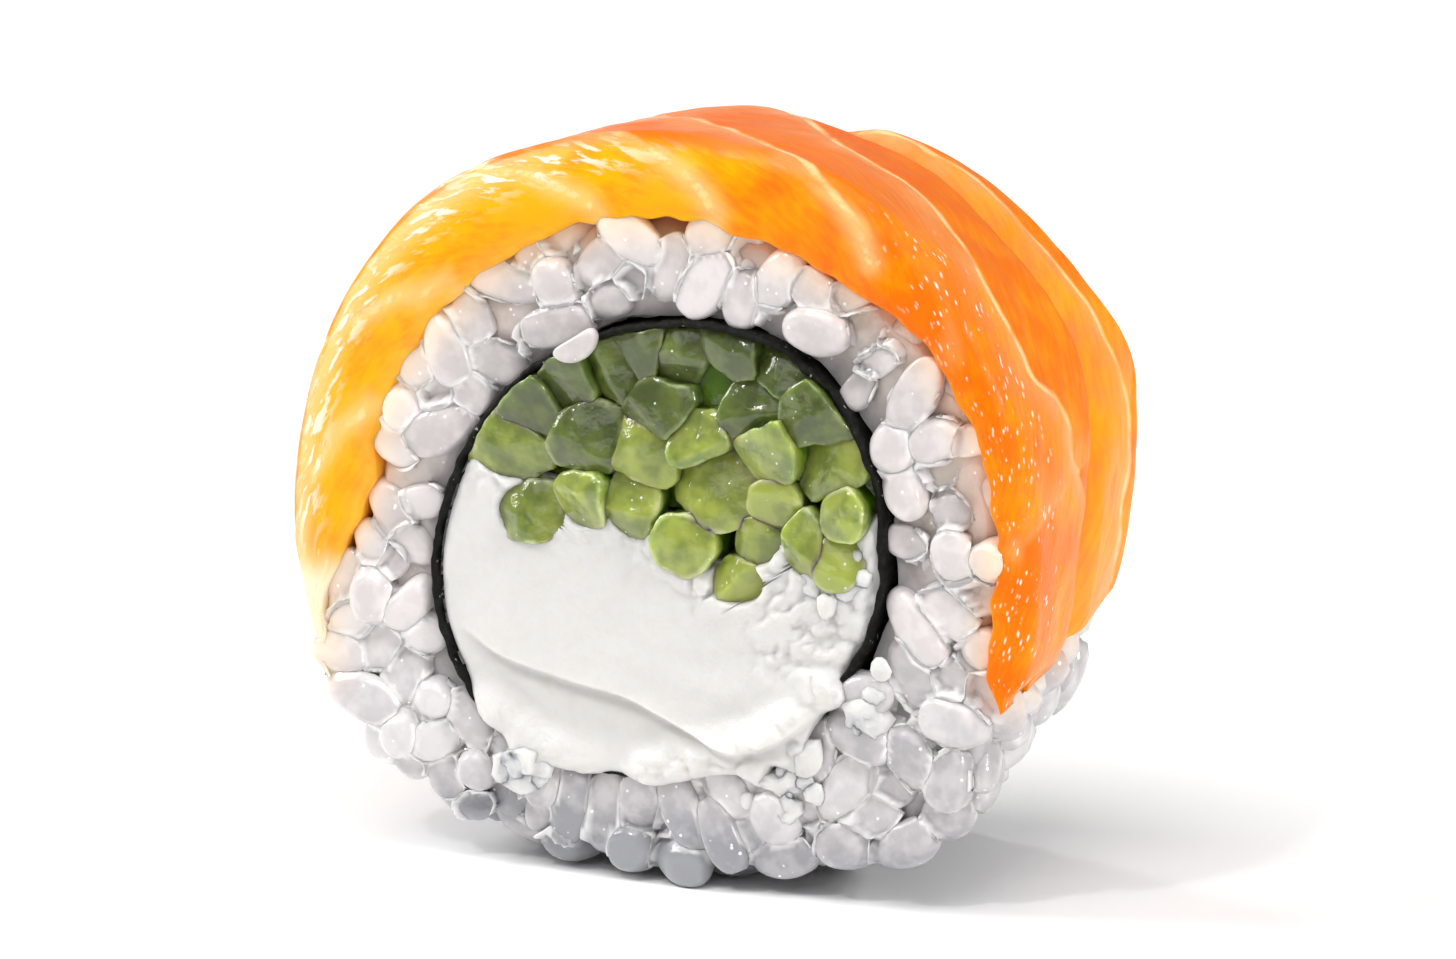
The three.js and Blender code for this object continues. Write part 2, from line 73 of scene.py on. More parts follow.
Array = np.ndarray
Pairs = Sequence[tuple[float, float]]
Curve = Callable[[Array], Array]
Colour = tuple[float, float, float]
Range = tuple[float, float]
Material = bpy.types.Material
Socket = bpy.types.NodeSocket


class Side(Enum):
    """A knife cut, by the way that it faces along y."""

    FRONT = -1
    BACK = 1


# ---------------------------------------------------------------- curves, angles and noise


def smooth_line(points: Pairs) -> Curve:
    """A smooth curve through rising (at, value) pairs, level beyond its ends.

    Args:
        points: the pairs, sorted by their first number.

    Returns:
        A function that gives the curve's value at each number of an array.
    """
    at, value = np.array(points, float).T
    slope = np.gradient(value)
    slope[1:-1] = (value[2:] - value[:-2]) / (at[2:] - at[:-2])
    slope[0] = (value[1] - value[0]) / (at[1] - at[0])
    slope[-1] = (value[-1] - value[-2]) / (at[-1] - at[-2])

    def curve(asked: Array) -> Array:
        """The curve's height at each asked place.

        Args:
            asked: places along the curve.

        Returns:
            The height at each of them.
        """
        inside = np.clip(asked, at[0], at[-1])
        left = np.clip(np.searchsorted(at, inside, side="right") - 1, 0, len(at) - 2)
        span = at[left + 1] - at[left]
        t = (inside - at[left]) / span
        held = (2 * t**3 - 3 * t**2 + 1) * value[left] + (3 * t**2 - 2 * t**3) * value[left + 1]
        leaning = (t**3 - 2 * t**2 + t) * slope[left] + (t**3 - t**2) * slope[left + 1]
        return held + span * leaning

    return curve


def smooth_loop(points: Pairs) -> Curve:
    """A smooth closed curve through (degrees, value) pairs.

    Args:
        points: the pairs, sorted by angle from 0 to 360.

    Returns:
        A function that gives the value at each angle of an array.
    """
    line = smooth_line([(at + turn, value) for turn in (-360, 0, 360) for at, value in points])
    return lambda degrees: line(np.mod(degrees, 360))


def smoothstep(value: Array, low: float | Array, high: float | Array) -> Array:
    """Rises smoothly from 0 at low to 1 at high."""
    t = np.clip((value - low) / (high - low), 0, 1)
    return t * t * (3 - 2 * t)


def lerp(low: float | Array, high: float | Array, share: float | Array) -> Array:
    """The number that lies a share of the way from low to high."""
    return low + (high - low) * share


def polar(angle: Array, radius: Array, y: Array) -> Array:
    """Points at an angle and radius round the nori's middle.

    Args:
        angle: in degrees.
        radius: from the middle of the loop.
        y: along the roll.

    Returns:
        The points, with x, y and z last.
    """
    turn = np.radians(angle)
    x, z = radius * np.cos(turn), radius * np.sin(turn)
    return np.stack(np.broadcast_arrays(x, y, z), axis=-1)


def around(points: Array) -> tuple[Array, Array]:
    """The angle, from -90 to 270 degrees, and radius of points round the nori's middle."""
    angle = np.degrees(np.arctan2(points[..., 2], points[..., 0]))
    return np.mod(angle + 90, 360) - 90, np.hypot(points[..., 0], points[..., 2])


def unit(vectors: Array) -> Array:
    """Vectors made one long."""
    return vectors / np.maximum(np.linalg.norm(vectors, axis=-1, keepdims=True), 1e-9)


def ripple(points: Array, size: float, seed: int) -> Array:
    """Smooth seeded noise.

    Args:
        points: where it is wanted, with x, y and z last.
        size: the width of its swells, in millimetres.
        seed: picks one pattern.

    Returns:
        Numbers from about -1 to 1, one for each point.
    """
    scaled = points / size
    cell = np.floor(scaled).astype(np.int64)
    part = scaled - cell
    fade = part**3 * (part * (part * 6 - 15) + 10)
    total = np.zeros(points.shape[:-1])
    for corner in product((0, 1), repeat=3):
        x, y, z = np.moveaxis(cell + corner, -1, 0)
        mixed = (x * 73856093) ^ (y * 19349663) ^ (z * 83492791) ^ (seed * 2654435761)
        mixed = ((mixed ^ (mixed >> 13)) & 0x7FFFFFFF) * 1274126177
        mixed = (mixed ^ (mixed >> 15)) & 0x3FFFFFFF
        slopes = np.stack([(mixed >> shift) & 1023 for shift in (0, 10, 20)], axis=-1) / 511.5 - 1
        weight = np.prod(np.where(corner, fade, 1 - fade), axis=-1)
        total += weight * np.sum(slopes * (part - corner), axis=-1)
    return 1.7 * total


def roughened(rings: Array, depth: float, size: float, seed: int) -> Array:
    """Points moved to and from the roll's axis by smooth noise.

    Args:
        rings: the points, with x, y and z last.
        depth: how far they move, in millimetres.
        size: the width of the swells.
        seed: picks one pattern.

    Returns:
        The moved points.
    """
    return rings + (depth * ripple(rings, size, seed))[..., None] * unit(rings * (1, 0, 1))


# ---------------------------------------------------------------- meshes


def grid_normals(rings: Array, ring: bool) -> Array:
    """Outward normals of a tube.

    Args:
        rings: its sections, one row each, with x, y and z last.
        ring: whether its last section joins its first.

    Returns:
        A unit vector for each point.
    """
    round_it = np.roll(rings, -1, axis=1) - np.roll(rings, 1, axis=1)
    if ring:
        along = np.roll(rings, -1, axis=0) - np.roll(rings, 1, axis=0)
    else:
        along = np.gradient(rings, axis=0)
    normals = unit(np.cross(round_it, along))
    outwards = rings - rings.mean(axis=1, keepdims=True)
    return normals if np.sum(normals * outwards) > 0 else -normals


@dataclass
class Skin:
    """Closed surfaces with a few values at each point, gathered into one mesh."""

    points: list[Array] = field(default_factory=list)
    quads: list[Array] = field(default_factory=list)
    caps: list[Array] = field(default_factory=list)
    values: dict[str, list[Array]] = field(default_factory=dict)
    count: int = 0

    def add_tube(self, rings: Array, values: dict[str, Array], ring: bool = False) -> None:
        """Adds a closed tube.

        Args:
            rings: its sections, one row each, with x, y and z last.
            values: numbers for each point, by name.
            ring: whether its last section joins its first. Otherwise both ends are closed.
        """
        rows, across = rings.shape[:2]
        index = np.arange(rows * across).reshape(rows, across)
        ahead = np.roll(index, -1, axis=0) if ring else index[1:]
        near = index if ring else index[:-1]
        quads = np.stack([near, ahead, np.roll(ahead, -1, 1), np.roll(near, -1, 1)], -1).reshape(-1, 4)
        points = rings.reshape(-1, 3)
        caps = np.zeros((0, 3), int)
        if not ring:
            hubs = rings[[0, -1]].mean(axis=1)
            points = np.concatenate([points, hubs])
            first, last = index[0], index[-1]
            hub = rows * across
            front = np.stack([np.full(across, hub), first, np.roll(first, -1)], -1)
            back = np.stack([np.full(across, hub + 1), np.roll(last, -1), last], -1)
            caps = np.concatenate([front, back])
        if self._volume(points, quads, caps) < 0:
            quads, caps = quads[:, ::-1], caps[:, ::-1]
        self.points.append(points)
        self.quads.append(quads + self.count)
        self.caps.append(caps + self.count)
        for name, value in values.items():
            whole = np.broadcast_to(value, (rows, across))
            ends = [] if ring else whole[[0, -1]].mean(axis=1)
            self.values.setdefault(name, []).append(np.concatenate([whole.reshape(-1), ends]))
        self.count += len(points)

    @staticmethod
    def _volume(points: Array, quads: Array, caps: Array) -> float:
        """Six times the volume that the faces close in.

        Args:
            points: the corners.
            quads: faces of four corners.
            caps: faces of three corners.

        Returns:
            The number, negative if the faces point inwards.
        """
        a, b, c, d = np.moveaxis(points[quads], 1, 0)
        e, f, g = np.moveaxis(points[caps], 1, 0)
        parts = [np.sum(p * np.cross(q, r)) for p, q, r in ((a, b, c), (a, c, d), (e, f, g))]
        return float(sum(parts))

    def triangles(self) -> int:
        """How many triangles the surfaces have."""
        return 2 * sum(map(len, self.quads)) + sum(map(len, self.caps))


@dataclass
class Roll:
    """The outlines that every layer is laid out from, and where the piece stands.

    The outlines, and how far the piece has narrowed at its back, are (degrees, millimetres) pairs. The
    salmon's two edges are (degrees, y) pairs, and its two ends are (y, degrees) pairs.
    """

    cut: float = 11.5
    sheet: float = 0.45
    gap: float = 0.3
    clear: float = 0.02
    nori_outline: Pairs = (
        (0, 14.9), (50, 15.8), (100, 13.9), (155, 14.1), (215, 16.1), (285, 13.2),
    )
    rice_outline: Pairs = (
        (0, 22.4), (35, 22.8), (60, 21.4), (100, 20.8), (150, 20.3), (178, 20.7), (192, 23.6),
        (210, 24.6), (240, 22.3), (270, 20.2), (300, 22.0), (322, 25.0), (336, 24.6), (347, 22.5),
    )
    salmon_outline: Pairs = (
        (0, 24.3), (35, 25.3), (60, 26.3), (90, 25.5), (130, 26.0), (170, 25.5), (200, 24.9), (330, 24.4),
    )
    back_drop: Pairs = (
        (5, 0.9), (25, 1.1), (60, 2.6), (95, 1.4), (135, 0), (160, 0), (280, 0), (298, 0.8), (310, 2.6),
        (322, 4.4), (334, 4.0), (348, 1.8),
    )
    overlap: Pairs = (
        (-20, -2.6), (-2, -2.5), (8, -1.8), (20, 2.2), (32, 3.5), (50, 3.6), (62, 4.9), (74, 6.6), (90, 11.5),
    )
    far: Pairs = ((-20, 4.0), (0, 6.6), (13, 8.6), (25, 12.0), (38, 11.4), (90, 11.5))
    right: Pairs = ((-12.5, -19), (-2, -15), (5, -9), (12.5, -6))
    left: Pairs = ((-12.5, 204), (0, 198), (12.5, 206))

    def __post_init__(self) -> None:
        """Makes the curves and finds the middle of the nori loop in the frame."""
        self.nori = smooth_loop(self.nori_outline)
        self.rice_loop = smooth_loop(self.rice_outline)
        self.salmon_loop = smooth_loop(self.salmon_outline)
        self.drop = smooth_loop(self.back_drop)
        self.overlap_edge = smooth_line(self.overlap)
        self.far_edge = smooth_line(self.far)
        self.right_end = smooth_line(self.right)
        self.left_end = smooth_line(self.left)
        low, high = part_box("nori")
        loop = polar(np.arange(0.0, 360.0), self.nori(np.arange(0.0, 360.0)), 0.0)
        left, _, below = loop.min(axis=0)
        self.middle = np.array([low.x / MM - left, (low.y + high.y) / 2 / MM, low.z / MM - below])

    def narrowing(self, angle: Array, y: Array) -> Array:
        """How much the roll has narrowed on the way to its back cut."""
        return self.drop(angle) * (y + self.cut) / (2 * self.cut)

    def rice(self, angle: Array, y: Array) -> Array:
        """Radius of the rice's outside."""
        return self.rice_loop(angle) - self.narrowing(angle, y)

    def salmon(self, angle: Array, y: Array) -> Array:
        """Radius of the salmon's outside."""
        return self.salmon_loop(angle) - self.narrowing(angle, y)

    def bore(self, angle: Array) -> Array:
        """Radius of the room inside the nori."""
        return self.nori(angle) - self.sheet

    def filling(self, angle: Array) -> Array:
        """Radius that the filling reaches inside the nori."""
        return self.bore(angle) - self.clear

    def under_salmon(self, angle: Array, y: Array, margin: float = 0.0) -> Array:
        """Whether a place on the rice is covered by the salmon."""
        between = (angle > self.right_end(y) - margin) & (angle < self.left_end(y) + margin)
        return between & (y < self.far_edge(angle) + self.gap)

    def place(self, points: Array) -> Array:
        """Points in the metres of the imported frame."""
        return (points + self.middle) * MM

    def piece(self, skin: Skin, name: str, node: str, slot: str, material: Material) -> None:
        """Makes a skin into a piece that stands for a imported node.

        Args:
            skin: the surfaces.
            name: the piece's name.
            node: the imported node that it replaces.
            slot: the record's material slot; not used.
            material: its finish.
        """
        mesh = bpy.data.meshes.new(name)
        faces = np.concatenate(skin.quads).tolist() + np.concatenate(skin.caps).tolist()
        mesh.from_pydata(self.place(np.concatenate(skin.points)).tolist(), [], faces)
        for label, parts in skin.values.items():
            layer = mesh.attributes.new(label, "FLOAT", "POINT")
            layer.data.foreach_set("value", np.concatenate(parts).astype(np.float32))
        mesh.shade_smooth()
        mesh.materials.append(material)
        made = bpy.data.objects.new(name, mesh)
        bpy.context.scene.collection.objects.link(made)
        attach(made, BODY)
        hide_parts(node)
        LOG.info("%s: %d triangles", name, skin.triangles())


# ---------------------------------------------------------------- finishes


class Shader:
    """A material's node tree, with short names for the nodes used here."""

    def __init__(self, name: str) -> None:
        """Starts a material with a Principled shader.

        Args:
            name: the material's name.
        """
        self.material = bpy.data.materials.new(name)
        self.material.use_nodes = True
        self.tree = self.material.node_tree
        self.surface = self.tree.nodes["Principled BSDF"]
        self.place = self._node("ShaderNodeTexCoord").outputs["Object"]

    def _node(self, kind: str, **settings: object) -> bpy.types.Node:
        """A new node with its settings.

        Args:
            kind: the node's type.
            settings: its options, by name.

        Returns:
            The node.
        """
        made = self.tree.nodes.new(kind)
        for name, value in settings.items():
            setattr(made, name, value)
        return made

    def _feed(self, socket: Socket, value: object) -> None:
        """Links a socket, or sets a plain value.

        Args:
            socket: the input to fill.
            value: another node's output, a number or a colour.
        """
        if isinstance(value, Socket):
            self.tree.links.new(value, socket)
        elif isinstance(value, tuple) and len(value) == 3 and socket.type == "RGBA":
            socket.default_value = (*value, 1.0)
        else:
            socket.default_value = value

    def set(self, **sockets: object) -> None:
        """Sets or links sockets of the Principled shader, with _ for a space in their names."""
        for name, value in sockets.items():
            self._feed(self.surface.inputs[name.replace("_", " ")], value)

    def attribute(self, name: str) -> Socket:
        """A value that each point of the mesh carries."""
        return self._node("ShaderNodeAttribute", attribute_name=name).outputs["Fac"]

    def _pattern(self, kind: str, size: float, place: Socket | None) -> bpy.types.Node:
        """A texture node.

        Args:
            kind: the node's type.
            size: how wide its features are, in millimetres.
            place: the place to read, the object's own if there is none.

        Returns:
            The node.
        """
        made = self._node(kind)
        made.inputs["Scale"].default_value = 1 / (size * MM)
        self.tree.links.new(place or self.place, made.inputs["Vector"])
        return made

    def noise(self, size: float, detail: float = 2.0, place: Socket | None = None) -> Socket:
        """Smooth noise.

        Args:
            size: how wide its swells are, in millimetres.
            detail: how many finer layers it has.
            place: the place to read, the object's own if there is none.

        Returns:
            Numbers from 0 to 1.
        """
        made = self._pattern("ShaderNodeTexNoise", size, place)
        made.inputs["Detail"].default_value = detail
        return made.outputs["Fac"]

    def cells(self, apart: float, place: Socket | None = None) -> Socket:
        """Distance to the nearest of scattered points, so many millimetres apart."""
        return self._pattern("ShaderNodeTexVoronoi", apart, place).outputs["Distance"]

    def dots(self, apart: float, size: float, patch: float, place: Socket | None = None) -> Socket:
        """Small round marks in loose patches.

        Args:
            apart: their spacing, in millimetres.
            size: how wide they are.
            patch: how wide the patches are.
            place: the place to read, the object's own if there is none.

        Returns:
            1 on a mark and 0 beside it.
        """
        edge = 0.5 * size / apart
        marks = self.span(self.cells(apart, place), 0.6 * edge, 1.4 * edge, 1.0, 0.0)
        return self.times(marks, self.span(self.noise(patch), 0.46, 0.56))

    def stretched(self, along: str, across: str, up: str, share: float) -> Socket:
        """A place built from three values that each point carries.

        Args:
            along, across, up: names of the point values, in millimetres.
            share: how much the first one is shortened, which stretches a pattern along it.

        Returns:
            The place.
        """
        made = self._node("ShaderNodeCombineXYZ")
        for socket, name, factor in zip("XYZ", (along, across, up), (share * MM, MM, MM)):
            self._feed(made.inputs[socket], self.times(self.attribute(name), factor))
        return made.outputs["Vector"]

    def _math(self, operation: str, first: object, second: object) -> Socket:
        """A Math node of two numbers.

        Args:
            operation: the node's own word for it.
            first, second: numbers or sockets.

        Returns:
            The outcome.
        """
        made = self._node("ShaderNodeMath", operation=operation)
        self._feed(made.inputs[0], first)
        self._feed(made.inputs[1], second)
        return made.outputs[0]

    def plus(self, first: object, second: object) -> Socket:
        """Two values added."""
        return self._math("ADD", first, second)

    def times(self, first: object, second: object) -> Socket:
        """Two values multiplied."""
        return self._math("MULTIPLY", first, second)

    def most(self, first: object, second: object) -> Socket:
        """The larger of two values."""
        return self._math("MAXIMUM", first, second)

    def span(self, value: object, low: float, high: float, start: float = 0.0, end: float = 1.0) -> Socket:
        """A value carried smoothly from one range onto another.

        Args:
            value: the number or socket.
            low, high: the range that it comes from.
            start, end: the range that it is carried onto.

        Returns:
            The value in its new range.
        """
        made = self._node("ShaderNodeMapRange", interpolation_type="SMOOTHSTEP")
        for name, number in (("From Min", low), ("From Max", high), ("To Min", start), ("To Max", end)):
            made.inputs[name].default_value = number
        self._feed(made.inputs["Value"], value)
        return made.outputs["Result"]

    def ramp(self, value: object, stops: Sequence[tuple[float, object]]) -> Socket:
        """Colours or greys along a value from 0 to 1.

        Args:
            value: where to read.
            stops: places from 0 to 1, each with its colour or grey.

        Returns:
            The colour.
        """
        made = self._node("ShaderNodeValToRGB")
        elements = made.color_ramp.elements
        while len(elements) < len(stops):
            elements.new(0.5)
        for element, (position, colour) in zip(elements, stops):
            element.position = position
            element.color = (*colour, 1) if isinstance(colour, tuple) else (colour, colour, colour, 1)
        self._feed(made.inputs["Fac"], value)
        return made.outputs["Color"]

    def mix(self, share: object, first: object, second: object) -> Socket:
        """Two colours mixed by a share.

        Args:
            share: how much of the second one there is.
            first, second: colours or sockets.

        Returns:
            The mixture.
        """
        made = self._node("ShaderNodeMix", data_type="RGBA")
        self._feed(made.inputs[0], share)
        self._feed(made.inputs[6], first)
        self._feed(made.inputs[7], second)
        return made.outputs[2]

    def bump(self, height: object, depth: float, strength: float = 1.0) -> None:
        """Adds fine relief to the surface and to its coat.

        Args:
            height: a number or socket.
            depth: how deep it is, in millimetres.
            strength: how much of it shows.
        """
        made = self._node("ShaderNodeBump")
        made.inputs["Distance"].default_value = depth * MM
        made.inputs["Strength"].default_value = strength
        self._feed(made.inputs["Height"], height)
        for socket in ("Normal", "Coat Normal"):
            self.tree.links.new(made.outputs["Normal"], self.surface.inputs[socket])


@dataclass(frozen=True)
class RiceFinish:
    """Cooked rice: pale, milky and moist, with painted light and shade: rim highlights, glints, light cast
    back by the salmon, shade in the gaps and low down, and light on the left.
    """

    pale: Colour = (0.71, 0.68, 0.685)
    grey: Colour = (0.49, 0.468, 0.48)
    # Darkest grey of the ramp, mostly painted shade low down on the piece.
    dark_grey_and_shade: Colour = (0.30, 0.302, 0.322)
    # Near-white for the painted rim highlights and painted glints.
    rim: Colour = (0.99, 0.975, 0.97)
    # Peach for painted light that the salmon casts back onto the rice.
    bounce_light: Colour = (0.99, 0.76, 0.56)
    # Painted shade in the gaps between grains.
    crevice_shade: Colour = (0.62, 0.48, 0.40)

    def make(self) -> Material:
        """Makes the material.

        Returns:
            The material, which reads tint, rim, blush and deep at each point.
        """
        shader = Shader("rice")
        clouds = shader.noise(1.1)
        milk = shader.plus(shader.attribute("tint"), shader.span(clouds, 0.35, 0.7, -0.15, 0.15))
        # The tint brings painted shade low down and painted light on the left into this ramp.
        body = shader.ramp(milk, ((0.0, self.dark_grey_and_shade), (0.4, self.grey), (1.0, self.pale)))
        # Painted highlight: pale rims where the grains meet.
        bright = shader.mix(shader.attribute("rim"), body, self.rim)
        # Painted bounce light: a warm peach colour on the rice beside the salmon.
        warm = shader.mix(shader.attribute("bounce_light"), bright, self.bounce_light)
        # Painted glints: small near-white dots in loose patches.
        with_glints = shader.mix(shader.dots(0.9, 0.20, 1.6), warm, self.rim)
        shader.set(
            # Painted shade: the deeper a point lies below the surface, the more of the gap colour it takes.
            Base_Color=shader.mix(shader.attribute("deep"), with_glints, self.crevice_shade),
            Roughness=0.26, IOR=1.38,
            Subsurface_Weight=0.6, Subsurface_Scale=0.7 * MM, Subsurface_Radius=(1.0, 1.0, 1.0),
            Coat_Weight=0.8, Coat_Roughness=0.06, Sheen_Weight=0.6, Sheen_Roughness=0.35,
        )
        shader.bump(shader.noise(1.0, 3.0), 0.07)
        return shader.material


@dataclass(frozen=True)
class NoriFinish:
    """Damp pressed seaweed, near black."""

    dark: Colour = (0.004, 0.004, 0.003)
    mottle: Colour = (0.013, 0.013, 0.010)
    fleck: Colour = (0.30, 0.31, 0.29)

    def make(self) -> Material:
        """Makes the material.

        Returns:
            The material, with pressed fibres and a few flecks of starch.
        """
        shader = Shader("nori")
        fibres = shader.noise(0.45, 4.0)
        body = shader.mix(shader.span(fibres, 0.4, 0.75), self.dark, self.mottle)
        flecks = shader.span(shader.noise(0.35, 1.0), 0.72, 0.78)
        shader.set(
            Base_Color=shader.mix(flecks, body, self.fleck), Roughness=0.6, Specular_IOR_Level=0.14,
        )
        shader.bump(fibres, 0.18)
        return shader.material


@dataclass(frozen=True)
class CheeseFinish:
    """Soft white cheese, close and matt with a faint shine, with painted shade where it runs in from the cut.
    """

    white: Colour = (0.70, 0.69, 0.67)
    # Darker colour for the random curd patches and for painted shade further in from the cut.
    cream_and_shade: Colour = (0.61, 0.58, 0.52)

    def make(self) -> Material:
        """Makes the material.

        Returns:
            The material, which reads deep at each point.
        """
        shader = Shader("cream_cheese")
        curd = shader.noise(0.55, 4.0)
        # Painted shade: cheese further in from the cut turns darker, besides the random curd patches.
        shade = shader.plus(shader.attribute("deep"), shader.span(curd, 0.3, 0.8, 0.0, 0.22))
        shader.set(
            Base_Color=shader.mix(shade, self.white, self.cream_and_shade), Roughness=0.40,
            Subsurface_Weight=0.9, Subsurface_Scale=0.9 * MM, Subsurface_Radius=(1.0, 0.93, 0.82),
            Coat_Weight=0.12, Coat_Roughness=0.25,
        )
        shader.bump(shader.noise(0.28, 3.0), 0.05, 0.9)
        return shader.material


@dataclass(frozen=True)
class CucumberFinish:
    """Moist cucumber flesh: milky green faces, painted in shade higher up, pale rims that are partly painted
    highlight, painted glints and deep green painted shade between the sticks.
    """

    # Dark colour for the upper sticks, painted shade under the nori.
    shade: Colour = (0.09, 0.12, 0.03)
    flesh: Colour = (0.18, 0.235, 0.05)
    # Light colour for the lower sticks, painted lighter than the shaded upper ones.
    light: Colour = (0.41, 0.47, 0.09)
    # Pale rim colour, partly the flesh's own paler edge and partly painted highlight.
    rim: Colour = (0.60, 0.66, 0.32)
    # Deep green painted shade between the sticks.
    crevice_shade: Colour = (0.12, 0.24, 0.01)
    # Near-white for painted glints.
    glint: Colour = (0.90, 0.96, 0.80)

    def make(self) -> Material:
        """Makes the material.

        Returns:
            The material, which reads tone, rim and deep at each point.
        """
        shader = Shader("cucumber")
        clouds = shader.noise(1.5)
        # Painted shade: the value is low for sticks high up and high for low ones.
        tone_and_shade = shader.plus(shader.attribute("tone_and_shade"), shader.span(clouds, 0.3, 0.7, -0.22, 0.22))
        body = shader.ramp(tone_and_shade, ((0.0, self.shade), (0.5, self.flesh), (1.0, self.light)))
        mottle = shader.span(shader.noise(1.1), 0.42, 0.62, 0.1, 0.9)
        # Pale rims, partly the flesh's own edge and partly painted highlight, broken into patches.
        rim = shader.times(shader.attribute("rim"), mottle)
        # Painted glints: small near-white dots in loose patches.
        lit = shader.mix(shader.dots(0.9, 0.16, 1.6), shader.mix(rim, body, self.rim), self.glint)
        shader.set(
            # Painted shade: the deeper a point lies below the cut, the more of the deep green it takes.
            Base_Color=shader.mix(shader.attribute("deep"), lit, self.crevice_shade),
            Roughness=0.16, Transmission_Weight=0.15,
            Subsurface_Weight=1.0, Subsurface_Scale=2.0 * MM, Subsurface_Radius=(0.7, 1.0, 0.4),
            Coat_Weight=1.0, Coat_Roughness=0.04, Coat_IOR=1.33,
        )
        shader.bump(shader.noise(0.8, 3.0), 0.10)
        return shader.material


@dataclass(frozen=True)
class SalmonFinish:
    """Raw salmon: moist orange flakes between pale sheets of fat; painted light turns the cut face yellow on
    its upper left and pales its rim there, and glints and rim streaks are painted highlights.
    """

    # Yellow, mostly for the upper left of the cut face, painted light shining through the flesh.
    yellow: Colour = (0.98, 0.43, 0.0)
    orange: Colour = (0.90, 0.182, 0.0)
    red: Colour = (0.84, 0.105, 0.0)
    fat: Colour = (1.0, 0.68, 0.32)
    tallow: Colour = (1.0, 0.80, 0.58)
    # Near-white for painted glints and painted highlight streaks.
    glint: Colour = (1.0, 0.90, 0.74)

    def make(self) -> Material:
        """Makes the material.

        Returns:
            The material, which reads warm, vein, fade, milk, tail, wet, gleam, along, across and up.
        """
        shader = Shader("salmon")
        shares = (0.16, 0.5, 0.25)
        grain, bead, streak = (shader.stretched("along", "across", "up", share) for share in shares)
        fibres = shader.noise(0.5, 3.0, grain)
        clouds = shader.noise(2.6, 3.0)
        # The warm value runs low on the upper left of the cut face, which paints light shining through there
        # in yellow.
        swing = shader.plus(shader.span(fibres, 0.3, 0.7, -0.07, 0.07), shader.attribute("warm"))
        warm = shader.plus(swing, shader.span(clouds, 0.3, 0.7, -0.10, 0.10))
        flesh = shader.ramp(warm, ((0.0, self.yellow), (0.5, self.orange), (1.0, self.red)))

        wander = shader.span(shader.noise(1.6, 3.0), 0.2, 0.8, -0.10, 0.10)
        vein = shader.span(shader.plus(shader.attribute("vein"), wander), 0.40, 0.90)
        patchy = shader.times(vein, shader.span(shader.noise(2.2), 0.3, 0.6, 0.35, 0.9))
        paling = shader.times(shader.attribute("fade"), shader.span(clouds, 0.2, 0.7, 0.10, 0.50))
        milky = shader.most(shader.most(patchy, paling), shader.attribute("milk"))
        creamy = shader.mix(milky, flesh, self.fat)

        # Painted highlights: broken pale streaks along the upper left rim.
        streaks = shader.span(shader.noise(0.7, 3.0, streak), 0.50, 0.60)
        # Painted glints: small pale dots in loose patches, most on the right of the front rim.
        glint_dots = shader.dots(0.5, 0.24, 1.2, bead)
        gleam = shader.times(streaks, shader.attribute("gleam"))
        shine = shader.most(gleam, shader.times(glint_dots, shader.attribute("glint_share")))
        # Painted glints and highlights mixed in as a near-white colour.
        glinted = shader.mix(shine, creamy, self.glint)
        shader.set(
            Base_Color=shader.mix(shader.attribute("tail"), glinted, self.tallow),
            Roughness=0.34, Specular_IOR_Level=0.05,
            Subsurface_Weight=0.6, Subsurface_Scale=0.8 * MM, Subsurface_Radius=(1.0, 0.6, 0.15),
            Coat_Weight=0.22, Coat_Roughness=0.04, Coat_IOR=1.33,
        )
        rough = shader.plus(shader.times(fibres, 0.3), shader.times(shine, 0.4))
        shader.bump(shader.plus(rough, shader.span(clouds, 0.0, 1.0, 0.0, 0.5)), 0.22)
        return shader.material


# ---------------------------------------------------------------- rice


@dataclass(frozen=True)
class StrayGrain:
    """A single grain that was carried off the rice: its place, direction and size."""

    angle: float
    radius: float
    out: float
    axis: tuple[float, float, float]
    length: float
    width: float


@dataclass
class Grains:
    """Grains of rice as they lie: middles, directions and sizes."""

    middle: Array
    axis: Array
    length: Array
    width: Array

    def joined(self, middle: Array, axis: Array, length: float, width: float) -> "Grains":
        """The grains with one more.

        Args:
            middle: where it lies.
            axis: its direction.
            length, width: its size.

        Returns:
            All of them.
        """
        return Grains(
            np.concatenate([self.middle, middle[None]]),
            np.concatenate([self.axis, unit(axis)[None]]),
            np.append(self.length, length),
            np.append(self.width, width),
        )


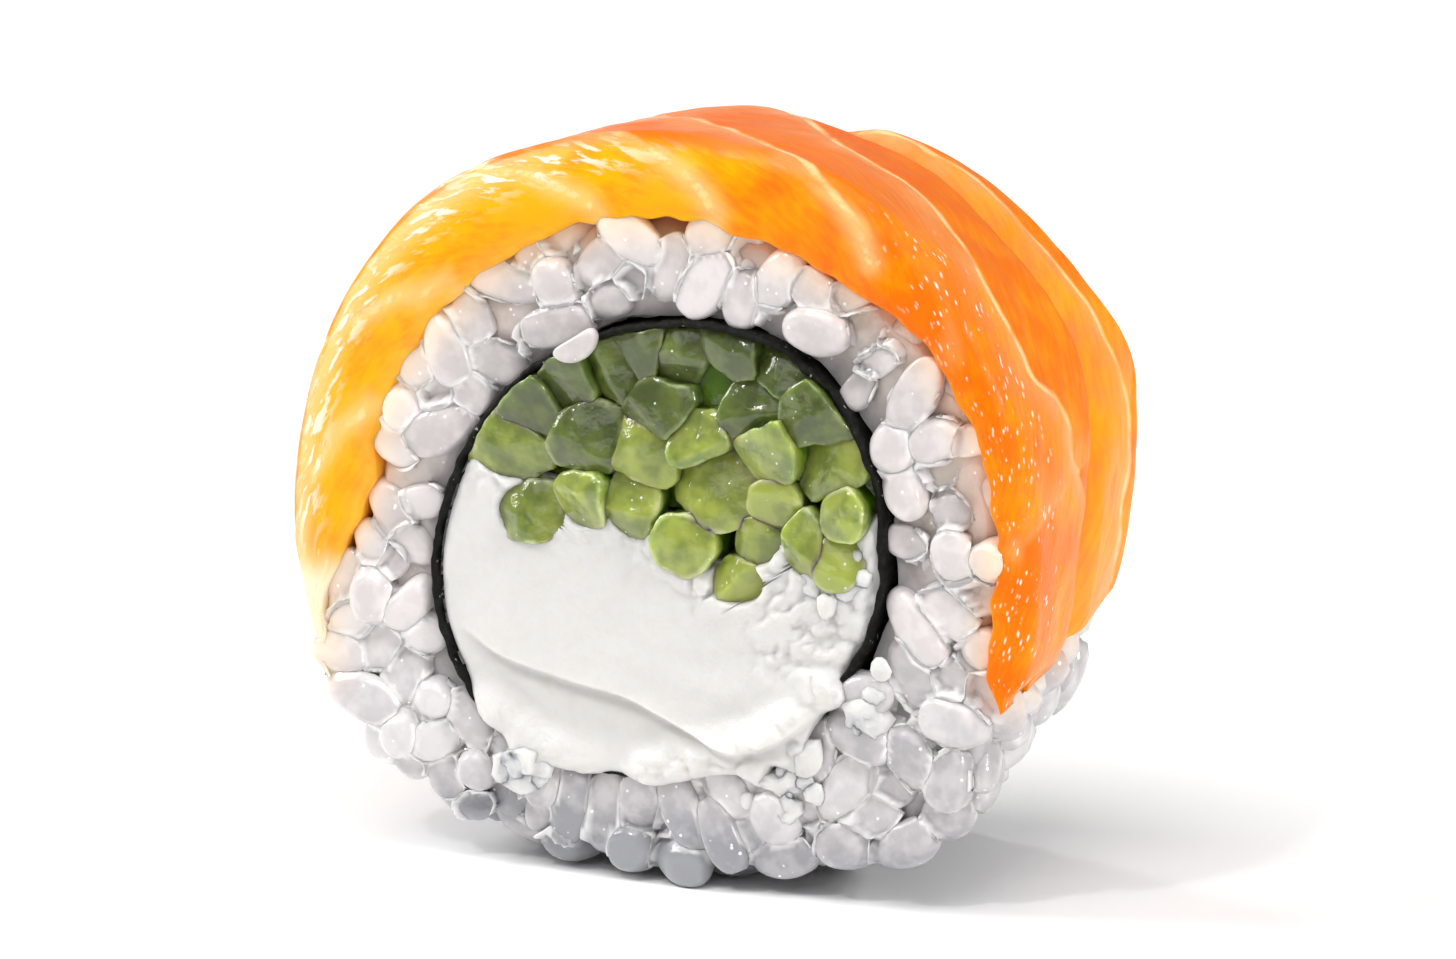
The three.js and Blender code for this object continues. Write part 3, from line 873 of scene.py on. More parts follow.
@dataclass
class RiceBed:
    """The ring of rice: a rough core, covered with whole grains packed against each other.

    Grains are pushed apart in steps, to a share press of their widths. How far one may reach past the
    nori, the side or the cut is drawn for it from a range. Then each is flattened where it leans on its
    neighbours, cut off where the knife passed and smeared over the seams in the cut. Holes that are left
    in the cuts, more than hole half widths from any grain, get small filler grains.
    """

    roll: Roll
    count: int = 850
    lengths: Range = (3.7, 5.9)
    widths: Range = (2.85, 3.35)
    seed: int = 11
    steps: int = 150
    clearance: float = 1.2
    press: float = 0.76
    shove: float = 1.25
    beside_nori: Range = (-0.45, 0.15)
    beside_side: Range = (-0.5, 0.7)
    beside_cut: Range = (-0.2, 0.95)
    beside_salmon: float = 0.8
    overlap: float = 1.04
    flattenings: int = 3
    cut_off: float = 0.50
    cut_round: float = 0.28
    cut_lean: float = 0.10
    smear: float = 0.95
    smear_depths: Range = (2.6, 1.4)
    keep_depth: float = 5.2
    seen_depth: float = 3.2
    core_depth: float = 1.2
    tries: int = 1600
    hole: float = 1.2
    filler_depth: float = 1.4
    filler_lengths: Range = (2.6, 3.6)
    filler_widths: Range = (1.9, 2.5)
    stray: StrayGrain = StrayGrain(111.0, 13.4, 0.95, (1.0, 0.1, 0.62), 3.1, 1.75)

    def pack(self) -> Grains:
        """Scatters grains through the ring and pushes them apart until they lie snugly.

        Returns:
            The grains, those hidden deep inside included.
        """
        draw = np.random.default_rng(self.seed)
        angle = draw.uniform(-90, 270, self.count * 3)
        y = draw.uniform(-self.roll.cut, self.roll.cut, self.count * 3)
        inner, outer = self.roll.nori(angle) + self.clearance, self.roll.rice(angle, y) - self.clearance
        radius = np.sqrt(draw.uniform(inner**2, outer**2))
        keep = draw.uniform(0, 1, len(angle)) < (outer**2 - inner**2) / np.max(outer**2 - inner**2)
        middle = polar(angle, radius, y)[keep][: self.count]
        grains = Grains(
            middle,
            unit(draw.normal(size=(len(middle), 3)) * (1, 1.7, 1)),
            draw.uniform(*self.lengths, len(middle)),
            draw.uniform(*self.widths, len(middle)),
        )
        loose = draw.uniform(0, 1, (3, len(middle)))
        for step in range(self.steps):
            if step % 5 == 0:
                pairs = self._neighbours(grains)
            grown = min(1.0, 0.55 + 0.6 * step / self.steps)
            self._push(grains, pairs, grown, loose)
        return grains

    def filled(self, grains: Grains) -> Grains:
        """The grains, with small ones added in the holes of both cuts and one across the nori.

        Args:
            grains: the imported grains.

        Returns:
            Those and the new ones.
        """
        draw = np.random.default_rng(self.seed + 2)
        for _ in range(self.tries):
            side = draw.choice([-1.0, 1.0])
            angle, share = np.array(draw.uniform(-90, 270)), draw.uniform(0, 1)
            outer = self.roll.rice(angle, side * self.roll.cut)
            radius = lerp(self.roll.nori(angle) + 1.0, outer - 0.9, share)
            place = polar(angle, radius, side * (self.roll.cut - self.filler_depth))
            slant = draw.normal(size=3) * (1, 0.25, 1)
            sizes = draw.uniform(*self.filler_lengths), draw.uniform(*self.filler_widths)
            near, _ = self._from_axis(place[None, None], grains, np.arange(len(grains.length)))
            if near.min() > self.hole:
                grains = grains.joined(place, slant, *sizes)
        stray = self.stray
        place = polar(stray.angle, stray.radius, -self.roll.cut - stray.out)
        return grains.joined(place, np.array(stray.axis), stray.length, stray.width)

    def _neighbours(self, grains: Grains) -> tuple[Array, Array]:
        """Pairs of grains that are near enough to touch.

        Args:
            grains: the grains.

        Returns:
            The places of the first and of the second grain of each pair.
        """
        apart = np.linalg.norm(grains.middle[:, None] - grains.middle[None], axis=-1)
        reach = (grains.length[:, None] + grains.length[None]) / 2 + 0.6
        return np.nonzero(np.triu(apart < reach, 1))

    def _push(self, grains: Grains, pairs: tuple[Array, Array], grown: float, loose: Array) -> None:
        """One round of pushing grains apart and back into the ring.

        Args:
            grains: the grains, which move.
            pairs: grains that may touch.
            grown: the share of their size that they have by now.
            loose: for each grain, how far it stands out of the sides, cuts and nori, from 0 to 1.
        """
        radius = 0.5 * grown * grains.width
        arm = np.maximum(grains.length * grown / 2 - radius, 0.1)
        places = np.array([-1.0, 0.0, 1.0])
        girth = np.array([0.88, 1.0, 0.88])
        balls = grains.middle[:, None] + (places[:, None] * arm[:, None, None]) * grains.axis[:, None]
        sizes = radius[:, None] * girth
        first, second = pairs
        gap = balls[first][:, :, None] - balls[second][:, None]
        apart = np.linalg.norm(gap, axis=-1)
        wanted = (sizes[first][:, :, None] + sizes[second][:, None]) * self.press
        short = np.maximum(wanted - apart, 0)
        push = gap / np.maximum(apart, 1e-6)[..., None] * (0.5 * short)[..., None]
        moves = np.zeros_like(balls)
        for owner, move in ((first, push.sum(axis=2)), (second, -push.sum(axis=1))):
            for ball, axis in product(range(3), range(3)):
                moves[:, ball, axis] += np.bincount(owner, move[:, ball, axis], len(balls))
        hits = np.zeros(balls.shape[:2])
        for owner, hit in ((first, (short > 0).sum(axis=2)), (second, (short > 0).sum(axis=1))):
            for ball in range(3):
                hits[:, ball] += np.bincount(owner, hit[:, ball], len(balls))
        moves *= self.shove / np.maximum(hits, 1)[..., None] ** 0.5
        moves += self._walls(balls + moves, sizes, loose)
        grains.middle += moves.mean(axis=1)
        spread = 2 * arm[:, None] * grains.axis + moves[:, 2] - moves[:, 0]
        grains.axis = unit(spread)

    def _walls(self, balls: Array, sizes: Array, loose: Array) -> Array:
        """How far each ball has to move to be inside the ring.

        Args:
            balls: middles of three balls along each grain.
            sizes: their radii.
            loose: for each grain, how far it stands out of the sides, cuts and nori, from 0 to 1.

        Returns:
            A move for each ball.
        """
        angle, reach = around(balls)
        covered = self.roll.under_salmon(angle, balls[..., 1], 4.0)
        out, cuts, inner = loose[:, :, None]
        rim = self.roll.rice(angle, balls[..., 1])
        outer = rim + np.where(covered, self.beside_salmon, lerp(*self.beside_side, out)) - sizes
        least = self.roll.nori(angle) + lerp(*self.beside_nori, inner) + sizes * 0.95
        radial = np.clip(reach, np.minimum(least, outer), outer) - reach
        turn = np.radians(angle)
        moves = np.stack([radial * np.cos(turn), 0 * radial, radial * np.sin(turn)], axis=-1)
        ends = self.roll.cut + lerp(*self.beside_cut, cuts) - sizes
        moves[..., 1] = np.clip(balls[..., 1], -ends, ends) - balls[..., 1]
        floor = sizes - self.roll.middle[2]
        height = balls[..., 2] + moves[..., 2]
        moves[..., 2] += np.maximum(floor - height, 0)
        return moves

    def shown(self, grains: Grains) -> Array:
        """Which grains lie near a surface that shows.

        Args:
            grains: the grains.

        Returns:
            True for those.
        """
        angle, reach = around(grains.middle)
        y = grains.middle[:, 1]
        near_cuts = np.abs(y) > self.roll.cut - self.keep_depth
        outside = reach > self.roll.rice(angle, y) - self.keep_depth
        bare = ~self.roll.under_salmon(angle, y, -6.0) | (y > self.roll.far_edge(angle) - 5)
        return near_cuts | (outside & bare)

    def grain_rings(self, grains: Grains, which: int, across: int, rows: int) -> tuple[Array, Array]:
        """The sections of one grain, each a little different.

        Args:
            grains: all the grains.
            which: the one to build.
            across: points in a section.
            rows: number of sections.

        Returns:
            Its sections from end to end, and how near each point is to another grain.
        """
        draw = np.random.default_rng(1000 + which)
        axis = grains.axis[which]
        beside = unit(np.cross(axis, unit(draw.normal(size=3))))
        above = np.cross(axis, beside)
        latitude = np.radians(np.linspace(-90, 90, rows + 2)[1:-1])[:, None]
        turn = np.radians(np.linspace(0, 360, across, endpoint=False))[None]
        taper = draw.uniform(-0.2, 0.2)
        bend = draw.uniform(-0.35, 0.35)
        flat = draw.uniform(0.84, 1.0)
        swell = np.cos(latitude) ** draw.uniform(0.72, 0.92) * (1 + taper * np.sin(latitude))
        dent = 1 - 0.10 * draw.uniform(0, 1) * np.exp(-(((turn - math.pi) / 0.5) ** 2)) * np.cos(latitude)
        wide = 0.5 * grains.width[which] * swell * dent
        along = 0.5 * grains.length[which] * np.sin(latitude)
        bowed = bend * (np.sin(latitude) ** 2 - 0.4)
        rings = (
            grains.middle[which]
            + along[..., None] * axis
            + (wide * np.cos(turn))[..., None] * beside
            + (flat * wide * np.sin(turn) + bowed)[..., None] * above
        )
        rings = rings + 0.07 * ripple(rings, 1.6, 5)[..., None] * unit(rings - grains.middle[which])
        rings, near = self.pressed_flat(rings, grains, which)
        return self.cut_flat(rings, near, draw.normal(size=2) * self.cut_lean), near

    def cut_flat(self, rings: Array, near: Array, lean: Array) -> Array:
        """A grain with the flat that the knife left on it, where it reaches a cut.

        Args:
            rings: the grain's sections.
            near: how near each point is to another grain, from 0 to 1.
            lean: how the flat leans, along x and z.

        Returns:
            The sections with their outermost part pressed flat, and smeared over its seams.
        """
        y = rings[..., 1]
        reach = np.abs(y).max()
        if reach < self.roll.cut - 1.2:
            return rings
        off = rings[..., [0, 2]] - rings[..., [0, 2]].reshape(-1, 2).mean(axis=0)
        limit = reach - self.cut_off + off @ lean - self.cut_round
        over = np.maximum(np.abs(y) - limit, 0)
        flat = np.minimum(np.abs(y), limit) + self.cut_round * np.tanh(over / self.cut_round)
        deepest, highest = self.smear_depths
        seam = self.smear * near * smoothstep(flat, self.roll.cut - deepest, self.roll.cut - highest)
        flat = np.maximum(flat, lerp(flat, self.roll.cut - 0.25, seam))
        return np.stack([rings[..., 0], np.sign(y) * flat, rings[..., 2]], axis=-1)

    def pressed_flat(self, rings: Array, grains: Grains, which: int) -> tuple[Array, Array]:
        """A grain's surface, flattened where it leans on its neighbours.

        Args:
            rings: the grain's sections.
            grains: all the grains.
            which: the grain's own place among them.

        Returns:
            The flattened sections, and from 0 to 1 how near each point is to another grain.
        """
        apart = np.linalg.norm(grains.middle - grains.middle[which], axis=-1)
        beside = np.nonzero((apart < (grains.length + grains.length[which]) / 2) & (apart > 0))[0]
        for _ in range(self.flattenings):
            own, foot = self._from_axis(rings, grains, np.array([which]))
            other, _ = self._from_axis(rings, grains, beside)
            ratio = other.min(axis=0) / np.maximum(own[0], 1e-6) * self.overlap
            rings = foot[0] + (rings - foot[0]) * np.clip(0.5 + 0.5 * ratio, 0.6, 1.0)[..., None]
        return rings, 1 - smoothstep(ratio, 1.04, 1.22)

    @staticmethod
    def _from_axis(places: Array, grains: Grains, which: Array) -> tuple[Array, Array]:
        """How far places lie from the axes of some grains.

        Args:
            places: points, in two rows or more.
            grains: all the grains.
            which: the places of those to measure from.

        Returns:
            The distances in half widths, and the nearest points on the axes.
        """
        axis = grains.axis[which][:, None, None]
        off = places[None] - grains.middle[which][:, None, None]
        arm = ((grains.length - grains.width) / 2)[which][:, None, None]
        along = np.clip(np.sum(off * axis, axis=-1), -arm, arm)
        foot = along[..., None] * axis
        distance = np.linalg.norm(off - foot, axis=-1) / (grains.width[which][:, None, None] / 2)
        return distance, foot + grains.middle[which][:, None, None]

    def shades(self, points: Array, tint: float, near: Array | float) -> dict[str, Array]:
        """The colour values of points on the rice.

        Args:
            points: where they are.
            tint: how pale the grain is, from 0 to 1.
            near: how near each point is to another grain, from 0 to 1.

        Returns:
            The tint, with painted shade low down and painted light on the left; the rim, a painted highlight
            where grains meet; the warm colour near the salmon, painted light that it casts back; and the
            depth below the surface, which paints shade into the gaps.
        """
        angle, reach = around(points)
        y = points[..., 1]
        from_salmon = self.roll.rice(angle, y) - reach
        near_ends = smoothstep(angle, -24, -12) * (1 - smoothstep(angle, 196, 210))
        # Painted bounce light: warm colour on rice beside and under the salmon's edge.
        bounce_light = 0.80 * near_ends * (1 - smoothstep(from_salmon, -0.3, 3.0)) + 0.08 * near_ends
        bounce_light *= 1 - smoothstep(y, self.roll.far_edge(angle), self.roll.far_edge(angle) + 2.5)
        below_cut = self.roll.cut - 0.3 - np.abs(y)
        covered = self.roll.under_salmon(angle, y)
        below_side = np.where(covered, 9.0, self.roll.rice(angle, y) - 0.6 - reach)
        below = np.minimum(below_cut, below_side)
        # Painted highlight: pale rims where grains meet near the surface, fainter low down.
        rim = 0.95 * near * (1 - smoothstep(below, 1.2, 2.6))
        # Painted shade: colour for the gaps, growing with depth below the surface.
        deep = 0.75 * smoothstep(below, 1.5, 4.0)
        # Painted shade: grains darken towards the bottom of the piece.
        low = 0.65 * (1 - smoothstep(points[..., 2] + self.roll.middle[2], 1.5, 7.0))
        # Painted light: grains pale towards the left, where the light falls.
        left = 0.25 * smoothstep(-points[..., 0], 8.0, 19.0)
        return {"tint": tint - low + left, "rim": rim * (1 - 0.7 * low), "bounce_light": bounce_light, "deep": deep}

    def build_grains(self, material: Material) -> None:
        """Makes the grains that show, as one piece.

        Args:
            material: its finish.
        """
        grains = self.filled(self.pack())
        skin = Skin()
        draw = np.random.default_rng(self.seed + 1)
        tints = draw.uniform(0.4, 1.0, len(grains.length))
        for which in np.nonzero(self.shown(grains))[0]:
            seen = grains.middle[which, 1] < -self.roll.cut + self.seen_depth
            across, rows = (22, 15) if seen else (12, 7)
            rings, near = self.grain_rings(grains, which, across, rows)
            skin.add_tube(rings, self.shades(rings, tints[which], near))
        self.roll.piece(skin, "rice_grains", "rice", "rice", material)

    def build_core(self, material: Material) -> None:
        """Makes the rough ring of packed rice behind the grains.

        Args:
            material: its finish.
        """
        angle = np.linspace(0, 360, 180, endpoint=False)[:, None]
        reach = self.roll.cut - self.core_depth
        along = np.linspace(-reach, reach, 36)
        signed = np.where(angle > 270, angle - 360, angle)
        covered = self.roll.under_salmon(signed, along)
        outer = self.roll.rice(signed, along) - np.where(covered, 0.5, self.core_depth)
        inner = self.roll.nori(angle) + 0.2 + 0 * along
        shoulder = np.minimum(np.abs(np.abs(along) - reach), 1.0)
        outer = outer - 1.0 + shoulder
        radius = np.concatenate([outer, inner[:, ::-1]], axis=1)
        y = np.concatenate([along, along[::-1]])
        rings = roughened(polar(angle, radius, y), 0.5, 2.2, 3)
        skin = Skin()
        skin.add_tube(rings, self.shades(rings, 0.4, 0.0), ring=True)
        self.roll.piece(skin, "rice_core", "rice", "rice", material)


# ---------------------------------------------------------------- nori


@dataclass
class NoriLoop:
    """The sheet of seaweed, with crinkled, rounded edges at the cuts."""

    roll: Roll
    set_back: float = 0.05
    edge: float = 0.3
    steps: int = 420

    def build(self, material: Material) -> None:
        """Makes the loop.

        Args:
            material: its finish.
        """
        angle = np.linspace(0, 360, self.steps, endpoint=False)[:, None]
        line = polar(angle, self.roll.nori(angle), 0.0)
        waver = 0.10 * ripple(line, 3.1, 21) + 0.09 * ripple(line, 0.9, 22)
        thick = self.roll.sheet + 0.18 * ripple(line, 1.3, 23)
        lift = 0.16 * ripple(line, 2.2, 24) + 0.10 * ripple(line, 0.7, 25)
        outer = self.roll.nori(angle) + waver
        ends = self.roll.cut - self.set_back + lift
        steps = np.linspace(0, math.pi, 9)
        edge_in = 0.5 * (1 - np.cos(steps))
        edge_out = self.edge * np.sin(steps)
        front_y = -(ends - self.edge + edge_out)
        back_y = ends - self.edge + edge_out[::-1]
        along = np.linspace(0.04, 0.96, 14)
        lower = lerp(front_y[:, -1:], back_y[:, :1], along)
        upper = lower[:, ::-1]
        radius = np.concatenate([
            outer - thick * edge_in,
            np.broadcast_to(outer - thick, lower.shape),
            outer - thick * edge_in[::-1],
            np.broadcast_to(outer, upper.shape),
        ], axis=1)
        y = np.concatenate([front_y, lower, back_y, upper], axis=1)
        skin = Skin()
        skin.add_tube(roughened(polar(angle, radius, y), 0.05, 0.6, 26), {}, ring=True)
        self.roll.piece(skin, "nori_sheet", "nori", "nori", material)


# ---------------------------------------------------------------- cucumber


@dataclass(frozen=True)
class Stick:
    """One cucumber stick: its place in the cut face and its size."""

    x: float
    z: float
    width: float
    height: float


@dataclass
class CucumberBundle:
    """Cucumber sticks that fill the upper part of the nori, side by side.

    Each end is built from rings, given as (share of the outline, how far the rim drops) pairs, and the
    sides behind it from rings at the side depths.
    """

    roll: Roll
    sticks: tuple[Stick, ...] = (
        Stick(-8.5, 2.0, 4.2, 3.1), Stick(-4.9, 3.0, 3.5, 3.1), Stick(-4.7, 6.8, 4.9, 3.8),
        Stick(-8.4, 8.5, 3.8, 3.8), Stick(-9.8, 5.8, 4.5, 3.5), Stick(-1.6, 3.1, 2.8, 3.8),
        Stick(-3.1, 11.2, 4.2, 3.1), Stick(-1.2, 12.4, 2.8, 3.1), Stick(1.0, 12.0, 2.3, 3.5),
        Stick(4.9, 12.6, 4.2, 2.8), Stick(7.8, 12.2, 3.8, 2.8), Stick(0.2, 8.9, 3.8, 3.5),
        Stick(6.3, 9.6, 4.5, 3.1), Stick(-0.8, 6.2, 3.8, 3.1), Stick(2.6, 7.3, 3.1, 2.4),
        Stick(3.8, 4.4, 5.6, 4.6), Stick(7.6, 7.0, 4.5, 3.8), Stick(10.3, 9.5, 3.8, 4.2),
        Stick(11.0, 6.3, 3.5, 3.5), Stick(12.3, 3.5, 2.6, 2.8), Stick(12.0, 0.6, 2.6, 2.8),
        Stick(9.6, 1.6, 2.0, 3.5), Stick(7.6, 3.7, 2.8, 2.8), Stick(1.9, 0.9, 3.1, 3.2),
        Stick(5.2, -1.2, 3.3, 2.5), Stick(-6.2, 10.1, 3.5, 3.1), Stick(6.4, 1.3, 2.6, 2.6),
    )
    hole: Range = (3.5, 10.7)
    hole_size: float = 1.7
    apart: float = -0.35
    across: int = 32
    end_rings: Pairs = (
        (0.12, 0), (0.3, 0), (0.5, 0), (0.68, 0), (0.82, 0), (0.92, 0.01), (0.975, 0.04), (1.0, 0.12),
    )
    side_depths: tuple[float, ...] = (0.45, 0.8, 1.3, 2.0, 3.0, 4.5)
    seed: int = 7

    def cell(self, which: int) -> Array:
        """The outline of one stick, fitted between its neighbours.

        Args:
            which: the stick's place in the list.

        Returns:
            The corners of its section, as x and z.
        """
        stick = self.sticks[which]
        middle = np.array([stick.x, stick.z])
        turn = np.radians(np.arange(0, 360, 12.0))
        wide, high = 0.62 * stick.width, 0.62 * stick.height
        corners = middle + np.stack([wide * np.cos(turn), high * np.sin(turn)], axis=-1)
        grow = 1.35 if stick.z > 4.5 else 1.08
        corners = middle + (corners - middle) * grow
        others = [(np.array([o.x, o.z]), o.width + o.height) for o in self.sticks if o is not stick]
        others.append((np.array(self.hole), 2 * self.hole_size))
        size = stick.width + stick.height
        for place, width in others:
            line = place - middle
            far = np.linalg.norm(line)
            share = 0.5 + 0.3 * (size - width) / (size + width)
            corners = self._clip(corners, middle + line * share, line / far, self.apart / 2)
        angle, reach = around(np.stack([corners[:, 0], 0 * corners[:, 0], corners[:, 1]], -1))
        most = self.roll.bore(angle) + 0.1
        return corners * np.minimum(1, most / np.maximum(reach, 1e-6))[:, None]

    @staticmethod
    def _clip(corners: Array, point: Array, normal: Array, back: float) -> Array:
        """The part of an outline on the near side of a line.

        Args:
            corners: the outline's corners.
            point: a point of the line.
            normal: the direction away from the part that stays.
            back: how far before the line the cut is made.

        Returns:
            The corners of what is left.
        """
        over = (corners - point) @ normal + back
        kept = []
        for index in range(len(corners)):
            before, here = over[index - 1], over[index]
            if (before > 0) != (here > 0):
                share = before / (before - here)
                kept.append(corners[index - 1] + share * (corners[index] - corners[index - 1]))
            if here <= 0:
                kept.append(corners[index])
        return np.array(kept)

    def rounded(self, corners: Array) -> Array:
        """An outline with its corners taken off.

        Args:
            corners: the outline, as x and z.

        Returns:
            Evenly spaced points, as x and z.
        """
        for _ in range(2):
            ahead = np.roll(corners, -1, axis=0)
            corners = np.stack([0.9 * corners + 0.1 * ahead, 0.1 * corners + 0.9 * ahead], 1).reshape(-1, 2)
        closed = np.concatenate([corners, corners[:1]])
        lengths = np.concatenate([[0], np.cumsum(np.linalg.norm(np.diff(closed, axis=0), axis=1))])
        wanted = np.linspace(0, lengths[-1], self.across, endpoint=False)
        return np.stack([np.interp(wanted, lengths, closed[:, axis]) for axis in (0, 1)], axis=-1)

    def stick_rings(self, which: int) -> tuple[Array, dict[str, Array]]:
        """The sections of one stick from its front end to its back end.

        Args:
            which: the stick's place in the list.

        Returns:
            The sections, and the colour values at each point.
        """
        draw = np.random.default_rng(self.seed * 100 + which)
        height = self.sticks[which].z
        outline = self.rounded(self.cell(which))
        edge = np.stack([outline[:, 0], np.full(self.across, 3.0 * which), outline[:, 1]], axis=-1)
        off_middle = outline - outline.mean(axis=0)
        outline = outline + off_middle * (0.10 * ripple(edge, 1.3, 43) - 0.02)[:, None]
        # Rims are paler on lower sticks: painted highlight, faded on the shaded upper ones.
        paleness = 1 - 0.8 * smoothstep(np.array(height), 4.0, 10.0)
        ends = [self._end(outline, paleness, side, draw) for side in Side]
        rings, rim, depth = (np.concatenate([front, back[::-1]]) for front, back in zip(*ends))
        soft = 0.06 * ripple(rings, 0.8, 41) + 0.16 * np.abs(ripple(rings, 1.7, 42)) - 0.05
        rings = rings + soft[..., None] * grid_normals(rings, False)
        # Painted shade: sticks high up are darker and low ones lighter, besides a random amount each.
        above = smoothstep(np.full(rim.shape, height), 1.0, 11.0)
        tone_and_shade = draw.uniform(0.25, 0.85) + 0.32 * (1 - above) - 0.30 * above
        # The depth below the cut paints shade: deep green between the sticks.
        return rings, {"rim": rim, "tone_and_shade": tone_and_shade, "deep": 0.95 * smoothstep(depth, 0.3, 1.6)}

    def _end(
        self, outline: Array, paleness: float, side: Side, draw: np.random.Generator
    ) -> tuple[Array, Array, Array]:
        """One moist cut end of a stick, with three facets, and the sides behind it.

        Args:
            outline: the stick's section, as x and z.
            paleness: how pale its rim is.
            side: the cut that it shows in.
            draw: gives the facets and how far the end stands out.

        Returns:
            The sections from the middle of the end to its deepest, their paleness and their depth.
        """
        lean = draw.uniform(-0.5, 0.5, (3, 2))
        folds = draw.uniform(0.1, 0.9, 2)
        stands = draw.uniform(-0.45, 0.8)
        middle = outline.mean(axis=0)
        sections = []
        rims = []
        depths = []
        for share, drop in self.end_rings:
            off = (outline - middle) * share
            facets = [off @ lean[0], off @ lean[1] + folds[0], off @ lean[2] + folds[1]]
            dome = 0.15 * (1 - share**2)
            out = self.roll.cut - 0.15 + stands + np.minimum.reduce(facets) + dome - drop
            sections.append(self._section(middle + off, side.value * out))
            # Pale rim round the end, partly painted highlight.
            rims.append(np.full(self.across, paleness * smoothstep(share, 0.80, 0.97)))
            # Depth below the cut, which paints shade in the gaps.
            depths.append(np.maximum(self.roll.cut - 1.2 - out, 0))
        rim = sections[-1]
        for deep in self.side_depths:
            flat = middle + (outline - middle) * (1 - 0.012 * deep)
            sections.append(self._section(flat, side.value * (np.abs(rim[:, 1]) - deep)))
            rims.append(np.full(self.across, paleness * (1 - smoothstep(deep, 0.1, 0.9))))
            depths.append(np.full(self.across, deep + 0.2))
        return np.array(sections), np.array(rims), np.array(depths)

    @staticmethod
    def _section(flat: Array, y: Array | float) -> Array:
        """An outline of x and z, set at a place along y."""
        return np.stack([flat[:, 0], np.broadcast_to(y, len(flat)), flat[:, 1]], axis=-1)

    def build(self, material: Material) -> None:
        """Makes all the sticks, as one piece.

        Args:
            material: its finish.
        """
        skin = Skin()
        for which in range(len(self.sticks)):
            rings, values = self.stick_rings(which)
            skin.add_tube(rings, values)
        self._backing(skin)
        self.roll.piece(skin, "cucumber_sticks", "cucumber", "cucumber", material)

    def _backing(self, skin: Skin) -> None:
        """Adds shorter flesh behind the gaps between the sticks, painted in the shaded green of the gaps.

        Args:
            skin: the surfaces to add it to.
        """
        angle = np.linspace(8, 172, 60)
        rim = polar(angle, self.roll.filling(angle), 0.0)[:, [0, 2]]
        floor = np.stack([np.linspace(rim[-1, 0], rim[0, 0], 36)[1:-1], np.full(34, 2.6)], axis=-1)
        outline = np.concatenate([rim, floor])
        middle = outline.mean(axis=0)
        reach = self.roll.cut - 1.5
        back = [(1.0, reach - 0.5), (0.97, reach), (0.3, reach)]
        front = [(share, -y) for share, y in back[::-1]]
        sections = [self._section(middle + (outline - middle) * share, y) for share, y in front + back]
        # The backing is painted wholly in the shaded green of the gaps.
        skin.add_tube(np.array(sections), {"rim": 0.0, "tone_and_shade": 0.3, "deep": 1.0})


# ---------------------------------------------------------------- cream cheese


